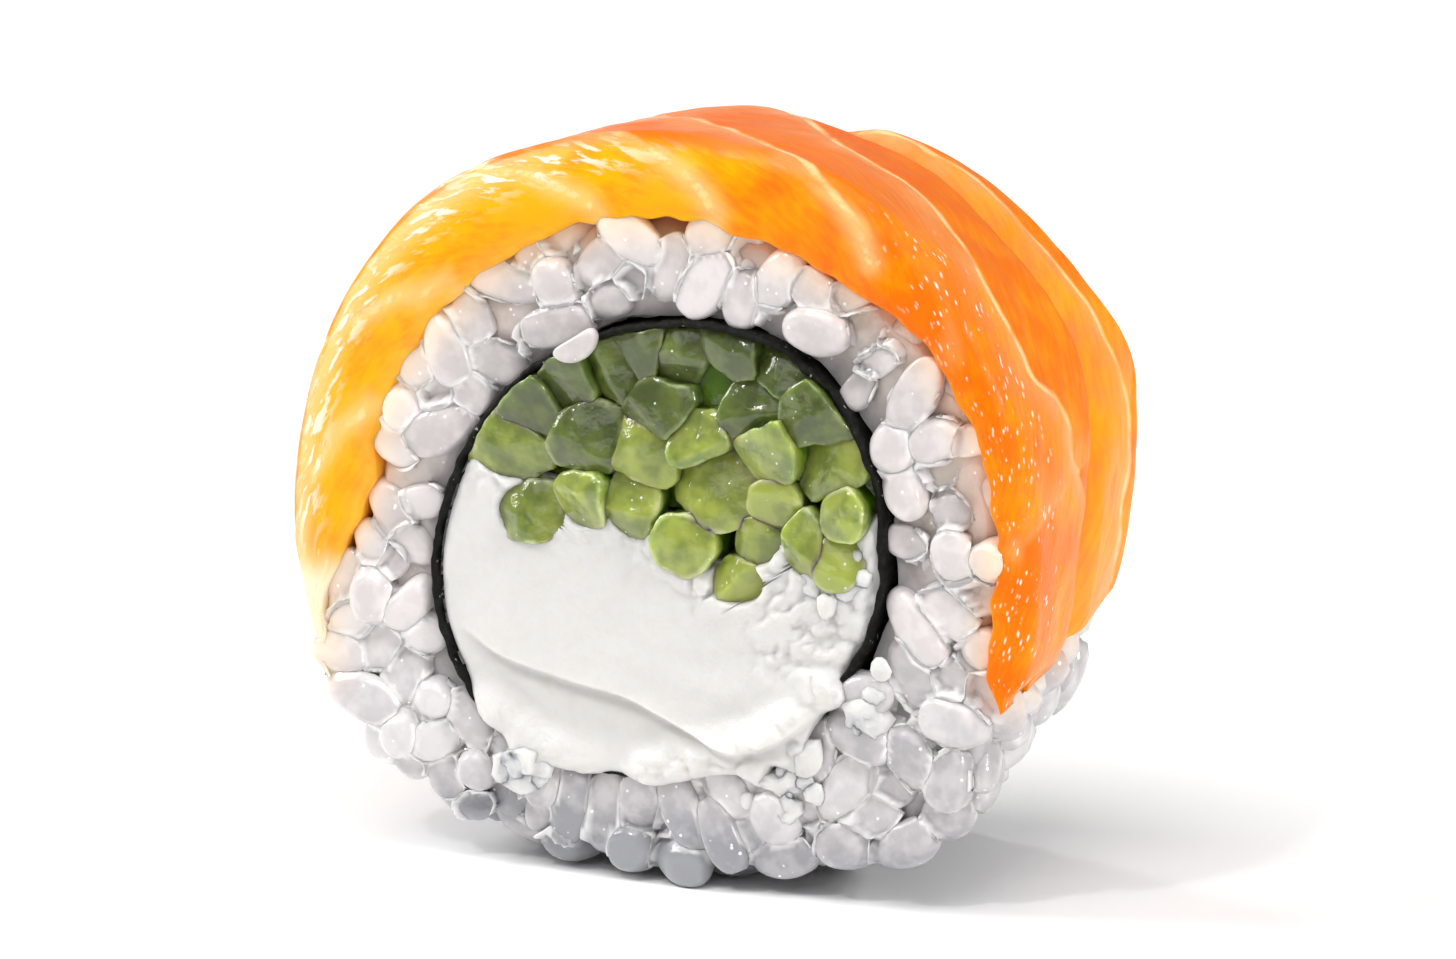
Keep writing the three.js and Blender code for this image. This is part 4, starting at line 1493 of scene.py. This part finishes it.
@dataclass
class CreamCheese:
    """Cream cheese below the cucumber, wiped into a fold and over the nori's lower edge.

    The line where it meets the cucumber and the crease below the fold are (x, z) pairs. The lip is how
    far the cheese reaches over the nori on the front cut, as (degrees, millimetres) pairs. The columns
    of its mesh spread out from a hub.
    """

    roll: Roll
    line: Pairs = (
        (-16, 6.5), (-11.5, 3.4), (-8, 1.6), (-2, 1.0), (1.5, -1.2), (4, -2.8), (7, -0.6), (12, 0), (16, 4.2),
    )
    crease: Pairs = (
        (-13, -5.6), (-10.5, -6.9), (-6.7, -7.9), (-2, -8.7), (2.5, -10.5), (5.5, -11.3), (8.6, -10.2),
        (11, -8.4),
    )
    lip: Pairs = (
        (206, -0.9), (216, -0.1), (224, 0.35), (231, 0.4), (236, 1.5), (241, 0.5), (250, 0.25), (259, 0.0),
        (270, 0.55), (285, 0.5), (293, 0.9), (298, 2.1), (303, 1.2), (309, 2.5), (314, 1.0), (322, 0.3),
        (328, 0.8), (332, 0.0), (340, -0.9),
    )
    sticks: tuple[Stick, ...] = ()
    set_back: float = 0.3
    dome: float = 0.3
    fold: float = 0.75
    furrow: float = 0.25
    curl: float = 0.35
    lip_swell: float = 1.0
    curd: float = 0.8
    stick_bed: float = 1.6
    edge_round: float = 0.8
    above_line: float = 2.6
    hub: Range = (0.6, -6.0)
    columns: int = 340
    rows: int = 64

    def __post_init__(self) -> None:
        """Makes the curves."""
        self.top = smooth_line(self.line)
        self.below_fold = smooth_line(self.crease)
        self.over_nori = smooth_line(self.lip)

    def limit(self, angle: Array, side: Side) -> Array:
        """How far the cheese reaches from the nori's middle.

        Args:
            angle: in degrees.
            side: which cut.

        Returns:
            A radius for each angle, past the nori where the lip is.
        """
        bare = self.roll.filling(angle)
        if side is Side.BACK:
            return bare
        turn = np.mod(angle, 360)
        lip = self.roll.nori(angle) + self.over_nori(turn)
        inside = (turn > self.lip[0][0]) & (turn < self.lip[-1][0])
        return np.where(inside, np.maximum(lip, bare), bare)

    def outline(self, side: Side) -> Array:
        """How far the cheese reaches from its hub, along each column.

        Args:
            side: which cut.

        Returns:
            A distance for each column.
        """
        turn = np.linspace(0, 2 * math.pi, self.columns, endpoint=False)[:, None]
        far = np.linspace(0.5, 24, 900)[None]
        x = self.hub[0] + far * np.cos(turn)
        z = self.hub[1] + far * np.sin(turn)
        angle, reach = around(np.stack([x, 0 * x, z], axis=-1))
        inside = (reach < self.limit(angle, side)) & (z < self.top(x) + self.above_line)
        last = np.argmin(inside, axis=1)
        return far[0, np.maximum(last - 1, 0)]

    def face(self, x: Array, z: Array, side: Side) -> Array:
        """How far the cheese stands out along y from the middle of the piece.

        Args:
            x, z: places on the cut face.
            side: which cut.

        Returns:
            A distance for each place.
        """
        across = x if side is Side.FRONT else -x
        place = np.stack([x, np.full(x.shape, 20.0 * side.value), z], axis=-1)
        angle, reach = around(place)
        rim, bare, top = self.limit(angle, side), self.roll.filling(angle), self.top(x)
        lipped = smoothstep(rim - bare, 0.2, 1.0)
        level = self.roll.cut - self.set_back + self.dome * (1 - (reach / 16) ** 2)
        level = level + self.wiped(across, z, place)
        level = level + lipped * self.lip_swell * smoothstep(reach, bare - 2.6, bare + 0.1)
        crumbly = smoothstep(across, 4.5, 8.5) * smoothstep(z, -8.5, -5)
        rough = np.maximum(crumbly, 0.75 * smoothstep(z, top - 2.2, top + 0.4))
        rough = np.maximum(rough, 0.6 * lipped * smoothstep(reach, bare - 1.5, bare + 0.3))
        creases = np.abs(ripple(place, 1.6, 32)) + 0.4 * np.abs(ripple(place, 0.8, 33))
        level = level + rough * self.curd * (np.minimum(creases, 0.55) - 0.2)
        level = level + 0.10 * ripple(place, 3.4, 34) + 0.05 * ripple(place, 1.2, 35)
        level = level - 1.2 * smoothstep(z, top + 0.9, top + self.above_line)
        level = level - self.stick_bed * self.beneath_sticks(x, z)
        edge = np.clip((rim - reach) / self.edge_round, 0, 1)
        return level - self.edge_round * (1 - np.sqrt(np.maximum(1 - (1 - edge) ** 2, 0)))

    def wiped(self, across: Array, z: Array, place: Array) -> Array:
        """How far the wiped fold and the curl above it stand out.

        Args:
            across, z: places on the cut face, with across to the right for someone who faces it.
            place: the same places, where the noise is read.

        Returns:
            A height for each place, negative in the furrow below the fold.
        """
        above = z - self.below_fold(across)
        along = smoothstep(across, -14, -10) * (1 - smoothstep(across, 9, 12.5))
        height = self.fold + 0.25 * ripple(place * (1, 1, 0.3), 2.7, 31)
        sheet = np.where(above > 0, np.exp(-np.maximum(above, 0) / 2.6), np.exp(-((above / 0.28) ** 2)))
        furrow = np.where(above < 0, np.exp(-(((above + 0.55) / 0.5) ** 2)), 0)
        curl = 0.5 * np.exp(-(((above - 2.6 - 0.12 * across) / 0.9) ** 2)) * smoothstep(across, -6, 2)
        folded = along * (height * sheet - self.furrow * furrow)
        return folded + self.curl * curl * (1 - smoothstep(across, 7, 11))

    def beneath_sticks(self, x: Array, z: Array) -> Array:
        """Where the ends of the cucumber sticks show.

        Args:
            x, z: places on the cut face.

        Returns:
            1 where one shows, falling to 0 beside it.
        """
        nearest = np.full(x.shape, 9.0)
        for stick in self.sticks:
            off = np.hypot((x - stick.x) / stick.width, (z - stick.z) / stick.height) * 2
            nearest = np.minimum(nearest, off)
        return 1 - smoothstep(nearest, 0.85, 1.15)

    def half(self, side: Side) -> Array:
        """The cut face on one side.

        Args:
            side: which cut.

        Returns:
            Rings from its hub to the rim and on down the nori's bore.
        """
        turn = np.linspace(0, 2 * math.pi, self.columns, endpoint=False)
        reach = self.outline(side)
        shares = np.linspace(0.01, 1, self.rows) ** 0.9
        x = self.hub[0] + shares[:, None] * reach * np.cos(turn)
        z = self.hub[1] + shares[:, None] * reach * np.sin(turn)
        y = self.face(x, z, side)
        rings = [np.stack([x, side.value * y, z], axis=-1)]
        angle, out = around(rings[0][-1])
        bare = np.minimum(self.roll.filling(angle), out)
        for depth in (0.55, 1.2, 3.0):
            wall = polar(angle, bare, 0.0)
            wall[:, 1] = side.value * (self.roll.cut - depth)
            rings.append(wall[None])
        return np.concatenate(rings)

    def build(self, material: Material) -> None:
        """Makes the block of cheese, as one piece.

        Args:
            material: its finish.
        """
        rings = np.concatenate([self.half(Side.FRONT), self.half(Side.BACK)[::-1]])
        skin = Skin()
        # Painted shade: the further in from the cut a point lies, the darker it is painted.
        deep = smoothstep(self.roll.cut - np.abs(rings[..., 1]), 0.6, 2.5)
        skin.add_tube(rings, {"deep": deep})
        self.roll.piece(skin, "cream_cheese_block", "cream_cheese", "cream_cheese", material)


@dataclass(frozen=True)
class Patch:
    """Where crumbs of cheese lie on a cut face: angles, radii, how many, how large and how deep."""

    angles: Range
    radii: Range
    count: int
    size: float = 1.0
    sunk: float = 0.0


@dataclass
class CheeseCrumbs:
    """Bits of cheese beside the lip, on the rice and between the lowest sticks."""

    roll: Roll
    patches: tuple[Patch, ...] = (
        Patch((232, 242), (16.0, 17.8), 4),
        Patch((292, 316), (14.8, 17.6), 8),
        Patch((326, 341), (15.0, 16.4), 4),
        Patch((-12, 12), (9.0, 13.2), 14, 0.8, 0.45),
    )
    sizes: Range = (0.6, 1.7)
    seed: int = 17

    def build(self, material: Material) -> None:
        """Makes all the crumbs, as one piece.

        Args:
            material: its finish.
        """
        draw = np.random.default_rng(self.seed)
        skin = Skin()
        latitude = np.radians(np.linspace(-90, 90, 9)[1:-1])[:, None]
        turn = np.radians(np.arange(0, 360, 30.0))[None]
        wide = np.cos(latitude)
        sides = np.broadcast_arrays(wide * np.cos(turn), np.sin(latitude), wide * np.sin(turn))
        ball = np.stack(sides, axis=-1)
        for patch in self.patches:
            for _ in range(patch.count):
                angle = draw.uniform(*patch.angles)
                radius = draw.uniform(*patch.radii)
                size = draw.uniform(*self.sizes) * draw.uniform(0.6, 1.0) * patch.size
                middle = polar(angle, radius, -self.roll.cut + patch.sunk + draw.uniform(-0.35, 0.25))
                lump = ball * size * draw.uniform(0.7, 1.2, 3) * (1, 0.6, 1)
                crumbled = 1 + 0.45 * ripple(lump + 40 * draw.uniform(size=3), 0.9, 51)
                skin.add_tube(middle + lump * crumbled[..., None], {"deep": 0.0})
        self.roll.piece(skin, "cream_cheese_crumbs", "cream_cheese", "cream_cheese", material)


# ---------------------------------------------------------------- salmon


class Slice(Enum):
    """One of the two slices of salmon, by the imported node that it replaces."""

    FRONT = "salmon_front"
    BACK = "salmon_back"


@dataclass(frozen=True)
class FatLine:
    """A sheet of fat where it meets the surface: (degrees, distance from the front rim) pairs.

    The distance is positive over the outside of the roll and negative down the cut face.
    """

    points: Pairs
    strength: float = 1.0


FRONT_FAT = (
    FatLine((
        (54, -2.6), (58, -1.7), (62, -0.8), (66, 0.4), (70, 1.6), (77, 3.3), (89, 7.7), (105, 15), (118, 23),
    )),
    FatLine((
        (13, 8.7), (16, 8.1), (20, 8.7), (25, 7.8), (28, 6.2), (34, 6.1), (41, 6.1), (47, 6.8), (52, 7.8),
        (58, 8.7), (63, 9.0), (71, 9.8), (81, 14.9), (94, 21.9),
    )),
    FatLine(((6, -0.5), (8, 1.8), (10, 4.1), (13, 8.7)), 0.55),
    FatLine(((79, -4.6), (82, -3.4), (86, -2.2), (91, -0.8), (96, 0.8), (106, 5), (120, 11), (134, 18))),
    FatLine(((100, -5.0), (104, -3.6), (109, -1.9), (115, -0.4), (124, 3), (140, 10), (152, 18))),
    FatLine(((131, -5.4), (137, -4.2), (143, -2.6), (150, -0.8), (160, 3), (172, 9), (182, 18))),
    FatLine(((158, -5.0), (164, -3.4), (171, -1.6), (180, 0.6), (192, 5))),
    FatLine(((186, -2.6), (190, -1.4), (196, 0.0)), 0.8),
    FatLine(((36, -1.5), (44, 0.8), (55, 3.4), (66, 5.2), (80, 10.5)), 0.30),
    FatLine(((84, 5.2), (100, 9.4), (120, 17.0)), 0.35),
)
BACK_FAT = (
    FatLine(((-6, 15.0), (6, 16.0), (18, 18.4), (30, 19.6), (48, 19.2), (66, 19.8), (80, 21.4))),
    FatLine(((20, 16.2), (34, 16.8), (52, 17.0), (64, 18.2)), 0.4),
    FatLine(((-14, 11.5), (-4, 12.2), (8, 13.4), (24, 21.6)), 0.55),
)


@dataclass
class SalmonSlice:
    """A slice of salmon laid over the rice, with a rounded cut edge and sheets of fat in relief.

    The back slice runs from the right end to the top angle, and reaches under the front one by the
    tuck. The front slice thins out to a feathered edge where it lies on the back one.
    """

    roll: Roll
    which: Slice
    fat: tuple[FatLine, ...]
    sections: int
    over: int
    top_angle: float = 96.0
    lap_fade: Range = (3.0, 10.0)
    tuck: float = 5.0
    feather: float = 0.6
    feather_share: float = 0.35
    tucked_gap: float = 0.45
    step_rise: float = 3.0
    least: float = 0.3
    rounding: float = 1.7
    pressed: float = 0.75
    ragged: float = 0.35
    vein_reach: float = 0.9
    fade_reach: float = 2.2
    milk_reach: float = 0.8
    mean_radius: float = 25.0
    flesh_slant: float = 28.0
    flesh_depth: float = 4.0

    def room(self, angle: Array) -> Array:
        """Thickness that the salmon has over the rice."""
        return self.roll.salmon_loop(angle) - self.roll.rice_loop(angle) - self.roll.gap

    def feathered(self, angle: Array) -> Array:
        """Thickness of the front slice along its overlapping edge."""
        return np.minimum(self.feather, self.feather_share * self.room(angle))

    def underside(self, angle: Array, y: Array) -> Array:
        """Radius of the front slice's underside, which rises onto the back slice.

        Args:
            angle: in degrees.
            y: along the roll.

        Returns:
            A radius for each place.
        """
        edge = self.roll.overlap_edge(angle)
        lap = 1 - smoothstep(angle - self.top_angle, *self.lap_fade)
        rise = lap * smoothstep(y, edge - self.tuck, edge)
        return self.roll.rice(angle, y) + self.roll.gap + rise * (self.room(angle) - self.feathered(angle))

    def back_top(self, angle: Array, y: Array) -> Array:
        """Radius of the back slice's outside, tucked under the front slice.

        Args:
            angle: in degrees.
            y: along the roll.

        Returns:
            A radius for each place.
        """
        edge = self.roll.overlap_edge(angle)
        step = self.feathered(angle) + self.roll.gap
        rise = smoothstep(y, edge + self.roll.gap, edge + self.step_rise)
        seen = self.roll.salmon(angle, y) - step * (1 - rise)
        hidden = np.minimum(self.underside(angle, y) - self.tucked_gap, seen)
        return np.where(y < edge + self.roll.gap, hidden, seen)

    def spans(self, share: Array) -> tuple[Array, Array]:
        """Where the slice begins and ends along y.

        Args:
            share: places from its right end to its left end, as a column.

        Returns:
            Where it begins and where it ends.
        """
        cut = self.roll.cut
        if self.which is Slice.FRONT:
            middle = lerp(self.roll.right_end(np.zeros(1)), self.roll.left_end(np.zeros(1)), share)
            front = -cut + 0.12 * np.sin(9 * share)
            back = np.minimum(self.roll.overlap_edge(middle), cut + 0.12 * np.sin(9 * (1 - share)))
            return front, back
        middle = lerp(self.roll.right_end(np.zeros(1)), self.top_angle, share)
        needed = (self.tucked_gap + self.least) / (self.room(middle) - self.feathered(middle))
        climb = 0.5 - np.sin(np.arcsin(1 - 2 * np.minimum(needed, 1)) / 3)
        front = self.roll.overlap_edge(middle) - self.tuck * (1 - climb)
        far = lerp(self.roll.right_end(np.full(1, 8.0)), self.top_angle, share)
        return front, self.roll.far_edge(far)

    def path(self, share: Array) -> tuple[Array, Array]:
        """A line round each section.

        Args:
            share: places of the sections from the right end to the left end, as a column.

        Returns:
            How far along y, and what share of the thickness up, each point lies.
        """
        front, back = self.spans(share)
        rounding = np.minimum(self.rounding, (back - front) / 4)
        turn = np.linspace(0, math.pi / 2, 18)
        in_by = 1 - np.cos(turn)
        up_by = lerp(0.06, 1.0, np.sin(turn) ** 0.72)
        over = np.linspace(0, 1, self.over)[1:-1]
        under = np.linspace(0.02, 0.98, 26)
        y = np.concatenate([
            front + rounding * in_by,
            lerp(front + rounding, back - rounding, over),
            back - rounding * in_by[::-1],
            lerp(back, front, under),
        ], axis=1)
        up = np.concatenate([up_by, np.ones(len(over)), up_by[::-1], np.zeros(len(under))])
        return y, np.broadcast_to(up, y.shape)

    def layer(self, angle: Array, y: Array) -> tuple[Array, Array]:
        """The slice's underside and outside.

        Args:
            angle: in degrees.
            y: along the roll.

        Returns:
            The radius of the underside, which is pressed into the rice, and of the outside.
        """
        edge = self.roll.overlap_edge(angle)
        if self.which is Slice.FRONT:
            ragged = self.ragged * ripple(polar(angle, self.mean_radius, 0.0), 2.3, 66) * (y < 0)
            low = self.underside(angle, y) + ragged - self.pressed * (y < edge - self.tuck)
            return low, self.roll.salmon(angle, y)
        low = self.roll.rice(angle, y) + self.roll.gap - self.pressed * (y > edge)
        return low, self.back_top(angle, y)

    def rings(self) -> tuple[Array, dict[str, Array]]:
        """The sections of the slice.

        Returns:
            The sections, and the colour values at each point.
        """
        even = np.linspace(0, 1, self.sections)[:, None]
        share = even - 0.1 * np.sin(2 * math.pi * even)
        y, up = self.path(share)
        left = self.roll.left_end(y) if self.which is Slice.FRONT else self.top_angle
        angle = lerp(self.roll.right_end(y), left, share)
        low, high = self.layer(angle, y)
        to_end = np.minimum(share, 1 - share)
        pinch = 0.8 * (1 - smoothstep(to_end, 0, 0.02))
        radius = lerp(lerp(low, high, up), 0.5 * (low + high), pinch)
        rings = polar(angle, radius, y)
        in_cut = (y < -self.roll.cut + self.rounding + 0.2) & (up < 0.999)
        from_rim = y + self.roll.cut + np.where(in_cut, (up - 1) * (high - low), 0)
        values = self.marks(angle, from_rim, rings, up) | self.tints(angle, from_rim, rings, up)
        swell = 0.16 * ripple(rings, 6.5, 61) + 0.06 * ripple(rings, 2.2, 62)
        relief = swell - 0.12 * values["vein"] ** 3 + 0.05 * values["fade"]
        shown = smoothstep(up, 0.1, 0.5) * smoothstep(to_end, 0.0, 0.03)
        return rings + (shown * relief)[..., None] * grid_normals(rings, False), values

    def marks(self, angle: Array, from_rim: Array, rings: Array, up: Array) -> dict[str, Array]:
        """How each point lies to the nearest sheet of fat.

        Args:
            angle: round the nori.
            from_rim: distance from the front rim, negative down the cut face.
            rings: the points themselves.
            up: share of the thickness.

        Returns:
            The milky fat in the cut with a pale band along its upper left rim and lower edge that is painted
            light, a sheet's nearness, the paling beside it and the flesh's place.
        """
        place = np.stack([np.radians(angle) * self.mean_radius, from_rim], axis=-1).reshape(-1, 2)
        place = place + 0.35 * np.stack([ripple(rings, 2.8, 63), ripple(rings, 2.8, 64)], -1).reshape(-1, 2)
        vein = np.zeros(len(place))
        fade = np.zeros(len(place))
        spread = np.zeros(len(place))
        for line in self.fat:
            distance = self._to_line(place, line)
            vein = np.maximum(vein, line.strength * np.maximum(1 - np.abs(distance) / self.vein_reach, 0))
            paling = smoothstep(distance, -0.35, 0.25) * np.exp(-np.maximum(distance, 0) / self.fade_reach)
            fade = np.maximum(fade, line.strength * paling)
            spread = np.maximum(spread, line.strength * np.exp(-((distance / self.milk_reach) ** 2)))
        slant = math.radians(self.flesh_slant)
        flat = place[:, 0] * math.cos(slant) + place[:, 1] * math.sin(slant)
        beside = -place[:, 0] * math.sin(slant) + place[:, 1] * math.cos(slant)
        shape = angle.shape
        bared = np.where(up > 0, 1.0, 0.4)
        cut = 1 - smoothstep(from_rim, -0.9, 0.3)
        # Painted light: a pale band along the front rim and the lower edge of the cut, on the upper left
        # only.
        edges = 0.62 * np.exp(-(((from_rim + 0.2) / 1.3) ** 2)) + 0.12 * (1 - smoothstep(up, 0.0, 0.3))
        edges = edges * (from_rim < 0.6) * smoothstep(angle, 95, 125)
        return {
            "milk": np.maximum(0.55 * spread.reshape(shape) * cut, edges),
            "vein": vein.reshape(shape) * bared,
            "fade": fade.reshape(shape) * bared * (1 - 0.85 * cut),
            "along": flat.reshape(shape),
            "across": beside.reshape(shape),
            "up": up * self.flesh_depth,
        }

    def _to_line(self, place: Array, line: FatLine) -> Array:
        """How far places lie from a sheet of fat.

        Args:
            place: points of the slice rolled out flat.
            line: the sheet of fat.

        Returns:
            The distance of each point, negative on one side.
        """
        turns, distances = np.array(line.points, float).T
        knots = np.arange(len(turns), dtype=float)
        fine = np.linspace(0, len(turns) - 1, 5 * len(turns))
        u = np.radians(smooth_line(list(zip(knots, turns)))(fine)) * self.mean_radius
        v = smooth_line(list(zip(knots, distances)))(fine)
        start = np.stack([u, v], axis=-1)[:-1]
        step = np.diff(np.stack([u, v], axis=-1), axis=0)
        best = np.full(len(place), 1e6)
        signed = np.zeros(len(place))
        for origin, leg in zip(start, step):
            off = place - origin
            t = np.clip(off @ leg / (leg @ leg), 0, 1)
            distance = np.linalg.norm(off - t[:, None] * leg, axis=-1)
            side = np.sign(leg[0] * off[:, 1] - leg[1] * off[:, 0])
            closer = distance < best
            best = np.where(closer, distance, best)
            signed = np.where(closer, -side * distance, signed)
        return signed

    def tints(self, angle: Array, from_rim: Array, rings: Array, up: Array) -> dict[str, Array]:
        """Where the flesh is red, where painted glints show, and where the front slice has painted highlights
        or ends in fat.

        Args:
            angle: round the nori.
            from_rim: distance from the front rim, negative down the cut face.
            rings: the points themselves.
            up: share of the thickness.

        Returns:
            The warmth, which paints the light through the cut's upper left in yellow, the share of painted
            glints, the painted highlight streaks along the upper left rim and the tail at the left end.
        """
        front = self.which is Slice.FRONT
        # Painted highlight: a band of streaks along the upper left rim of the front slice.
        rim_band = np.exp(-(((from_rim + 0.9) / 1.2) ** 2)) * (up > 0.3)
        upper_left = smoothstep(angle, 84, 104) * (1 - smoothstep(angle, 176, 188))
        return {
            "warm": self.warmth(angle, from_rim, rings),
            # Painted glints, most on the right of the front rim.
            "glint_share": self.glint_spread(angle, from_rim),
            "gleam": 0.95 * front * rim_band * upper_left,
            "tail": 0.95 * front * smoothstep(angle, 184, 190) * (1 - smoothstep(from_rim, 0.3, 4.0)),
        }

    def warmth(self, angle: Array, from_rim: Array, rings: Array) -> Array:
        """How red the flesh is; the yellow on the upper left of the cut face is painted light shining
        through.

        Args:
            angle: round the nori.
            from_rim: distance from the front rim, negative down the cut.
            rings: the points themselves.

        Returns:
            Numbers from 0 for yellow to 1.
        """
        outside = smoothstep(from_rim, -0.8, 1.6)
        top = np.exp(-(((angle - 88) / 34) ** 2))
        # Painted light: the cut face turns yellow from the top round to the left, where light shines through.
        cut = 0.45 - 0.40 * smoothstep(angle, 62, 92)
        skin = 0.42 + 0.34 * top
        if self.which is Slice.BACK:
            skin = skin - 0.12
        return lerp(cut, skin, outside) + 0.10 * ripple(rings, 4.5, 65)

    @staticmethod
    def glint_spread(angle: Array, from_rim: Array) -> Array:
        """Where painted glints show.

        Args:
            angle: round the nori.
            from_rim: distance from the front rim, negative down the cut.

        Returns:
            1 on the right of the front rim, and less on its left.
        """
        right = (1 - smoothstep(angle, 44, 62)) * np.exp(-(((from_rim - 1.2) / 3.6) ** 4))
        left = 0.5 * smoothstep(angle, 100, 130) * np.exp(-(((from_rim + 0.8) / 1.4) ** 2))
        return np.maximum(right, left)

    def build(self, material: Material) -> None:
        """Makes the slice, as one piece.

        Args:
            material: its finish.
        """
        rings, values = self.rings()
        skin = Skin()
        skin.add_tube(rings, values)
        self.roll.piece(skin, f"{self.which.value}_slice", self.which.value, "salmon", material)


# ---------------------------------------------------------------- studio


@dataclass(frozen=True)
class Lamp:
    """A soft light: its direction from the piece, distance, size and power."""

    name: str
    azimuth: float
    elevation: float
    distance: float
    size: float
    power: float


@dataclass
class Studio:
    """A white table, soft lights and a camera at the photograph's angle.

    Fill is the share of the picture's height that the piece takes, and surround the strength of the
    even light from all round.
    """

    azimuth: float = 25.0
    elevation: float = 11.5
    distance: float = 0.45
    fill: float = 0.78
    sensor: float = 36.0
    picture: tuple[int, int] = (1456, 959)
    table: float = 4.0
    surround: float = 0.26
    lamps: tuple[Lamp, ...] = (
        Lamp("key", -75, 34, 2.4, 1.0, 31.0),
        Lamp("front", 10, 40, 2.4, 1.3, 6.0),
        Lamp("top", 10, 72, 2.4, 1.6, 25.0),
        Lamp("right", 78, 27, 2.4, 0.35, 25.0),
        Lamp("edge", -125, 24, 2.4, 0.3, 12.0),
        Lamp("spark", -20, 50, 2.4, 0.16, 10.0),
    )

    @staticmethod
    def direction(azimuth: float, elevation: float) -> Vector:
        """The way from the piece to something at an azimuth and elevation."""
        a, e = math.radians(azimuth), math.radians(elevation)
        return Vector((math.sin(a) * math.cos(e), -math.cos(a) * math.cos(e), math.sin(e)))

    def build(self) -> None:
        """Sets the table, lights and camera."""
        low, high = CAD_BOX
        middle = (low + high) / 2
        self._table()
        self._surround()
        for lamp in self.lamps:
            self._lamp(lamp, middle)
        self._camera(middle, high.z - low.z)
        bpy.context.scene.view_settings.view_transform = "Standard"

    def _table(self) -> None:
        """The plain white table."""
        half = self.table / 2
        mesh = bpy.data.meshes.new("table")
        corners = [(-half, -half, 0), (half, -half, 0), (half, half, 0), (-half, half, 0)]
        mesh.from_pydata(corners, [], [(0, 1, 2, 3)])
        shader = Shader("table")
        shader.set(Base_Color=(0.96, 0.96, 0.96, 1.0), Roughness=0.6)
        mesh.materials.append(shader.material)
        table = bpy.data.objects.new("table", mesh)
        bpy.context.scene.collection.objects.link(table)

    def _surround(self) -> None:
        """Even white light from all round."""
        world = bpy.data.worlds.new("studio")
        world.use_nodes = True
        background = world.node_tree.nodes["Background"]
        background.inputs["Color"].default_value = (1, 1, 1, 1)
        background.inputs["Strength"].default_value = self.surround
        bpy.context.scene.world = world

    def _lamp(self, lamp: Lamp, middle: Vector) -> None:
        """Adds one square soft light that faces the piece.

        Args:
            lamp: the light.
            middle: the middle of the piece.
        """
        light = bpy.data.lights.new(lamp.name, "AREA")
        light.size = lamp.size
        light.energy = lamp.power
        made = bpy.data.objects.new(lamp.name, light)
        way = self.direction(lamp.azimuth, lamp.elevation)
        made.location = middle + way * lamp.distance
        made.rotation_euler = way.to_track_quat("Z", "Y").to_euler()
        bpy.context.scene.collection.objects.link(made)

    def _camera(self, middle: Vector, height: float) -> None:
        """Adds the camera, set so that the piece fills its share of the picture.

        Args:
            middle: the middle of the piece.
            height: how tall the piece is.
        """
        camera = bpy.data.cameras.new("camera")
        camera.sensor_width = self.sensor
        wide, high = self.picture
        camera.lens = self.fill * self.distance / height * self.sensor * high / wide
        camera.clip_start = 0.01
        made = bpy.data.objects.new("camera", camera)
        way = self.direction(self.azimuth, self.elevation)
        made.location = middle + way * self.distance
        made.rotation_euler = way.to_track_quat("Z", "Y").to_euler()
        bpy.context.scene.collection.objects.link(made)
        bpy.context.scene.camera = made


# ---------------------------------------------------------------- the piece


def main() -> None:
    """Dresses the piece, layer by layer, and sets it in the studio."""
    logging.basicConfig(level=logging.INFO, format="%(message)s")
    roll = Roll()
    LOG.info("middle of the nori at %s mm", np.round(roll.middle, 3))
    rice = RiceFinish().make()
    bed = RiceBed(roll)
    bed.build_core(rice)
    bed.build_grains(rice)
    NoriLoop(roll).build(NoriFinish().make())
    bundle = CucumberBundle(roll)
    bundle.build(CucumberFinish().make())
    cheese = CheeseFinish().make()
    CreamCheese(roll, sticks=bundle.sticks).build(cheese)
    CheeseCrumbs(roll).build(cheese)
    salmon = SalmonFinish().make()
    SalmonSlice(roll, Slice.FRONT, FRONT_FAT, sections=450, over=92).build(salmon)
    SalmonSlice(roll, Slice.BACK, BACK_FAT, sections=210, over=70).build(salmon)
    Studio().build()


if __name__ == "__main__":
    main()
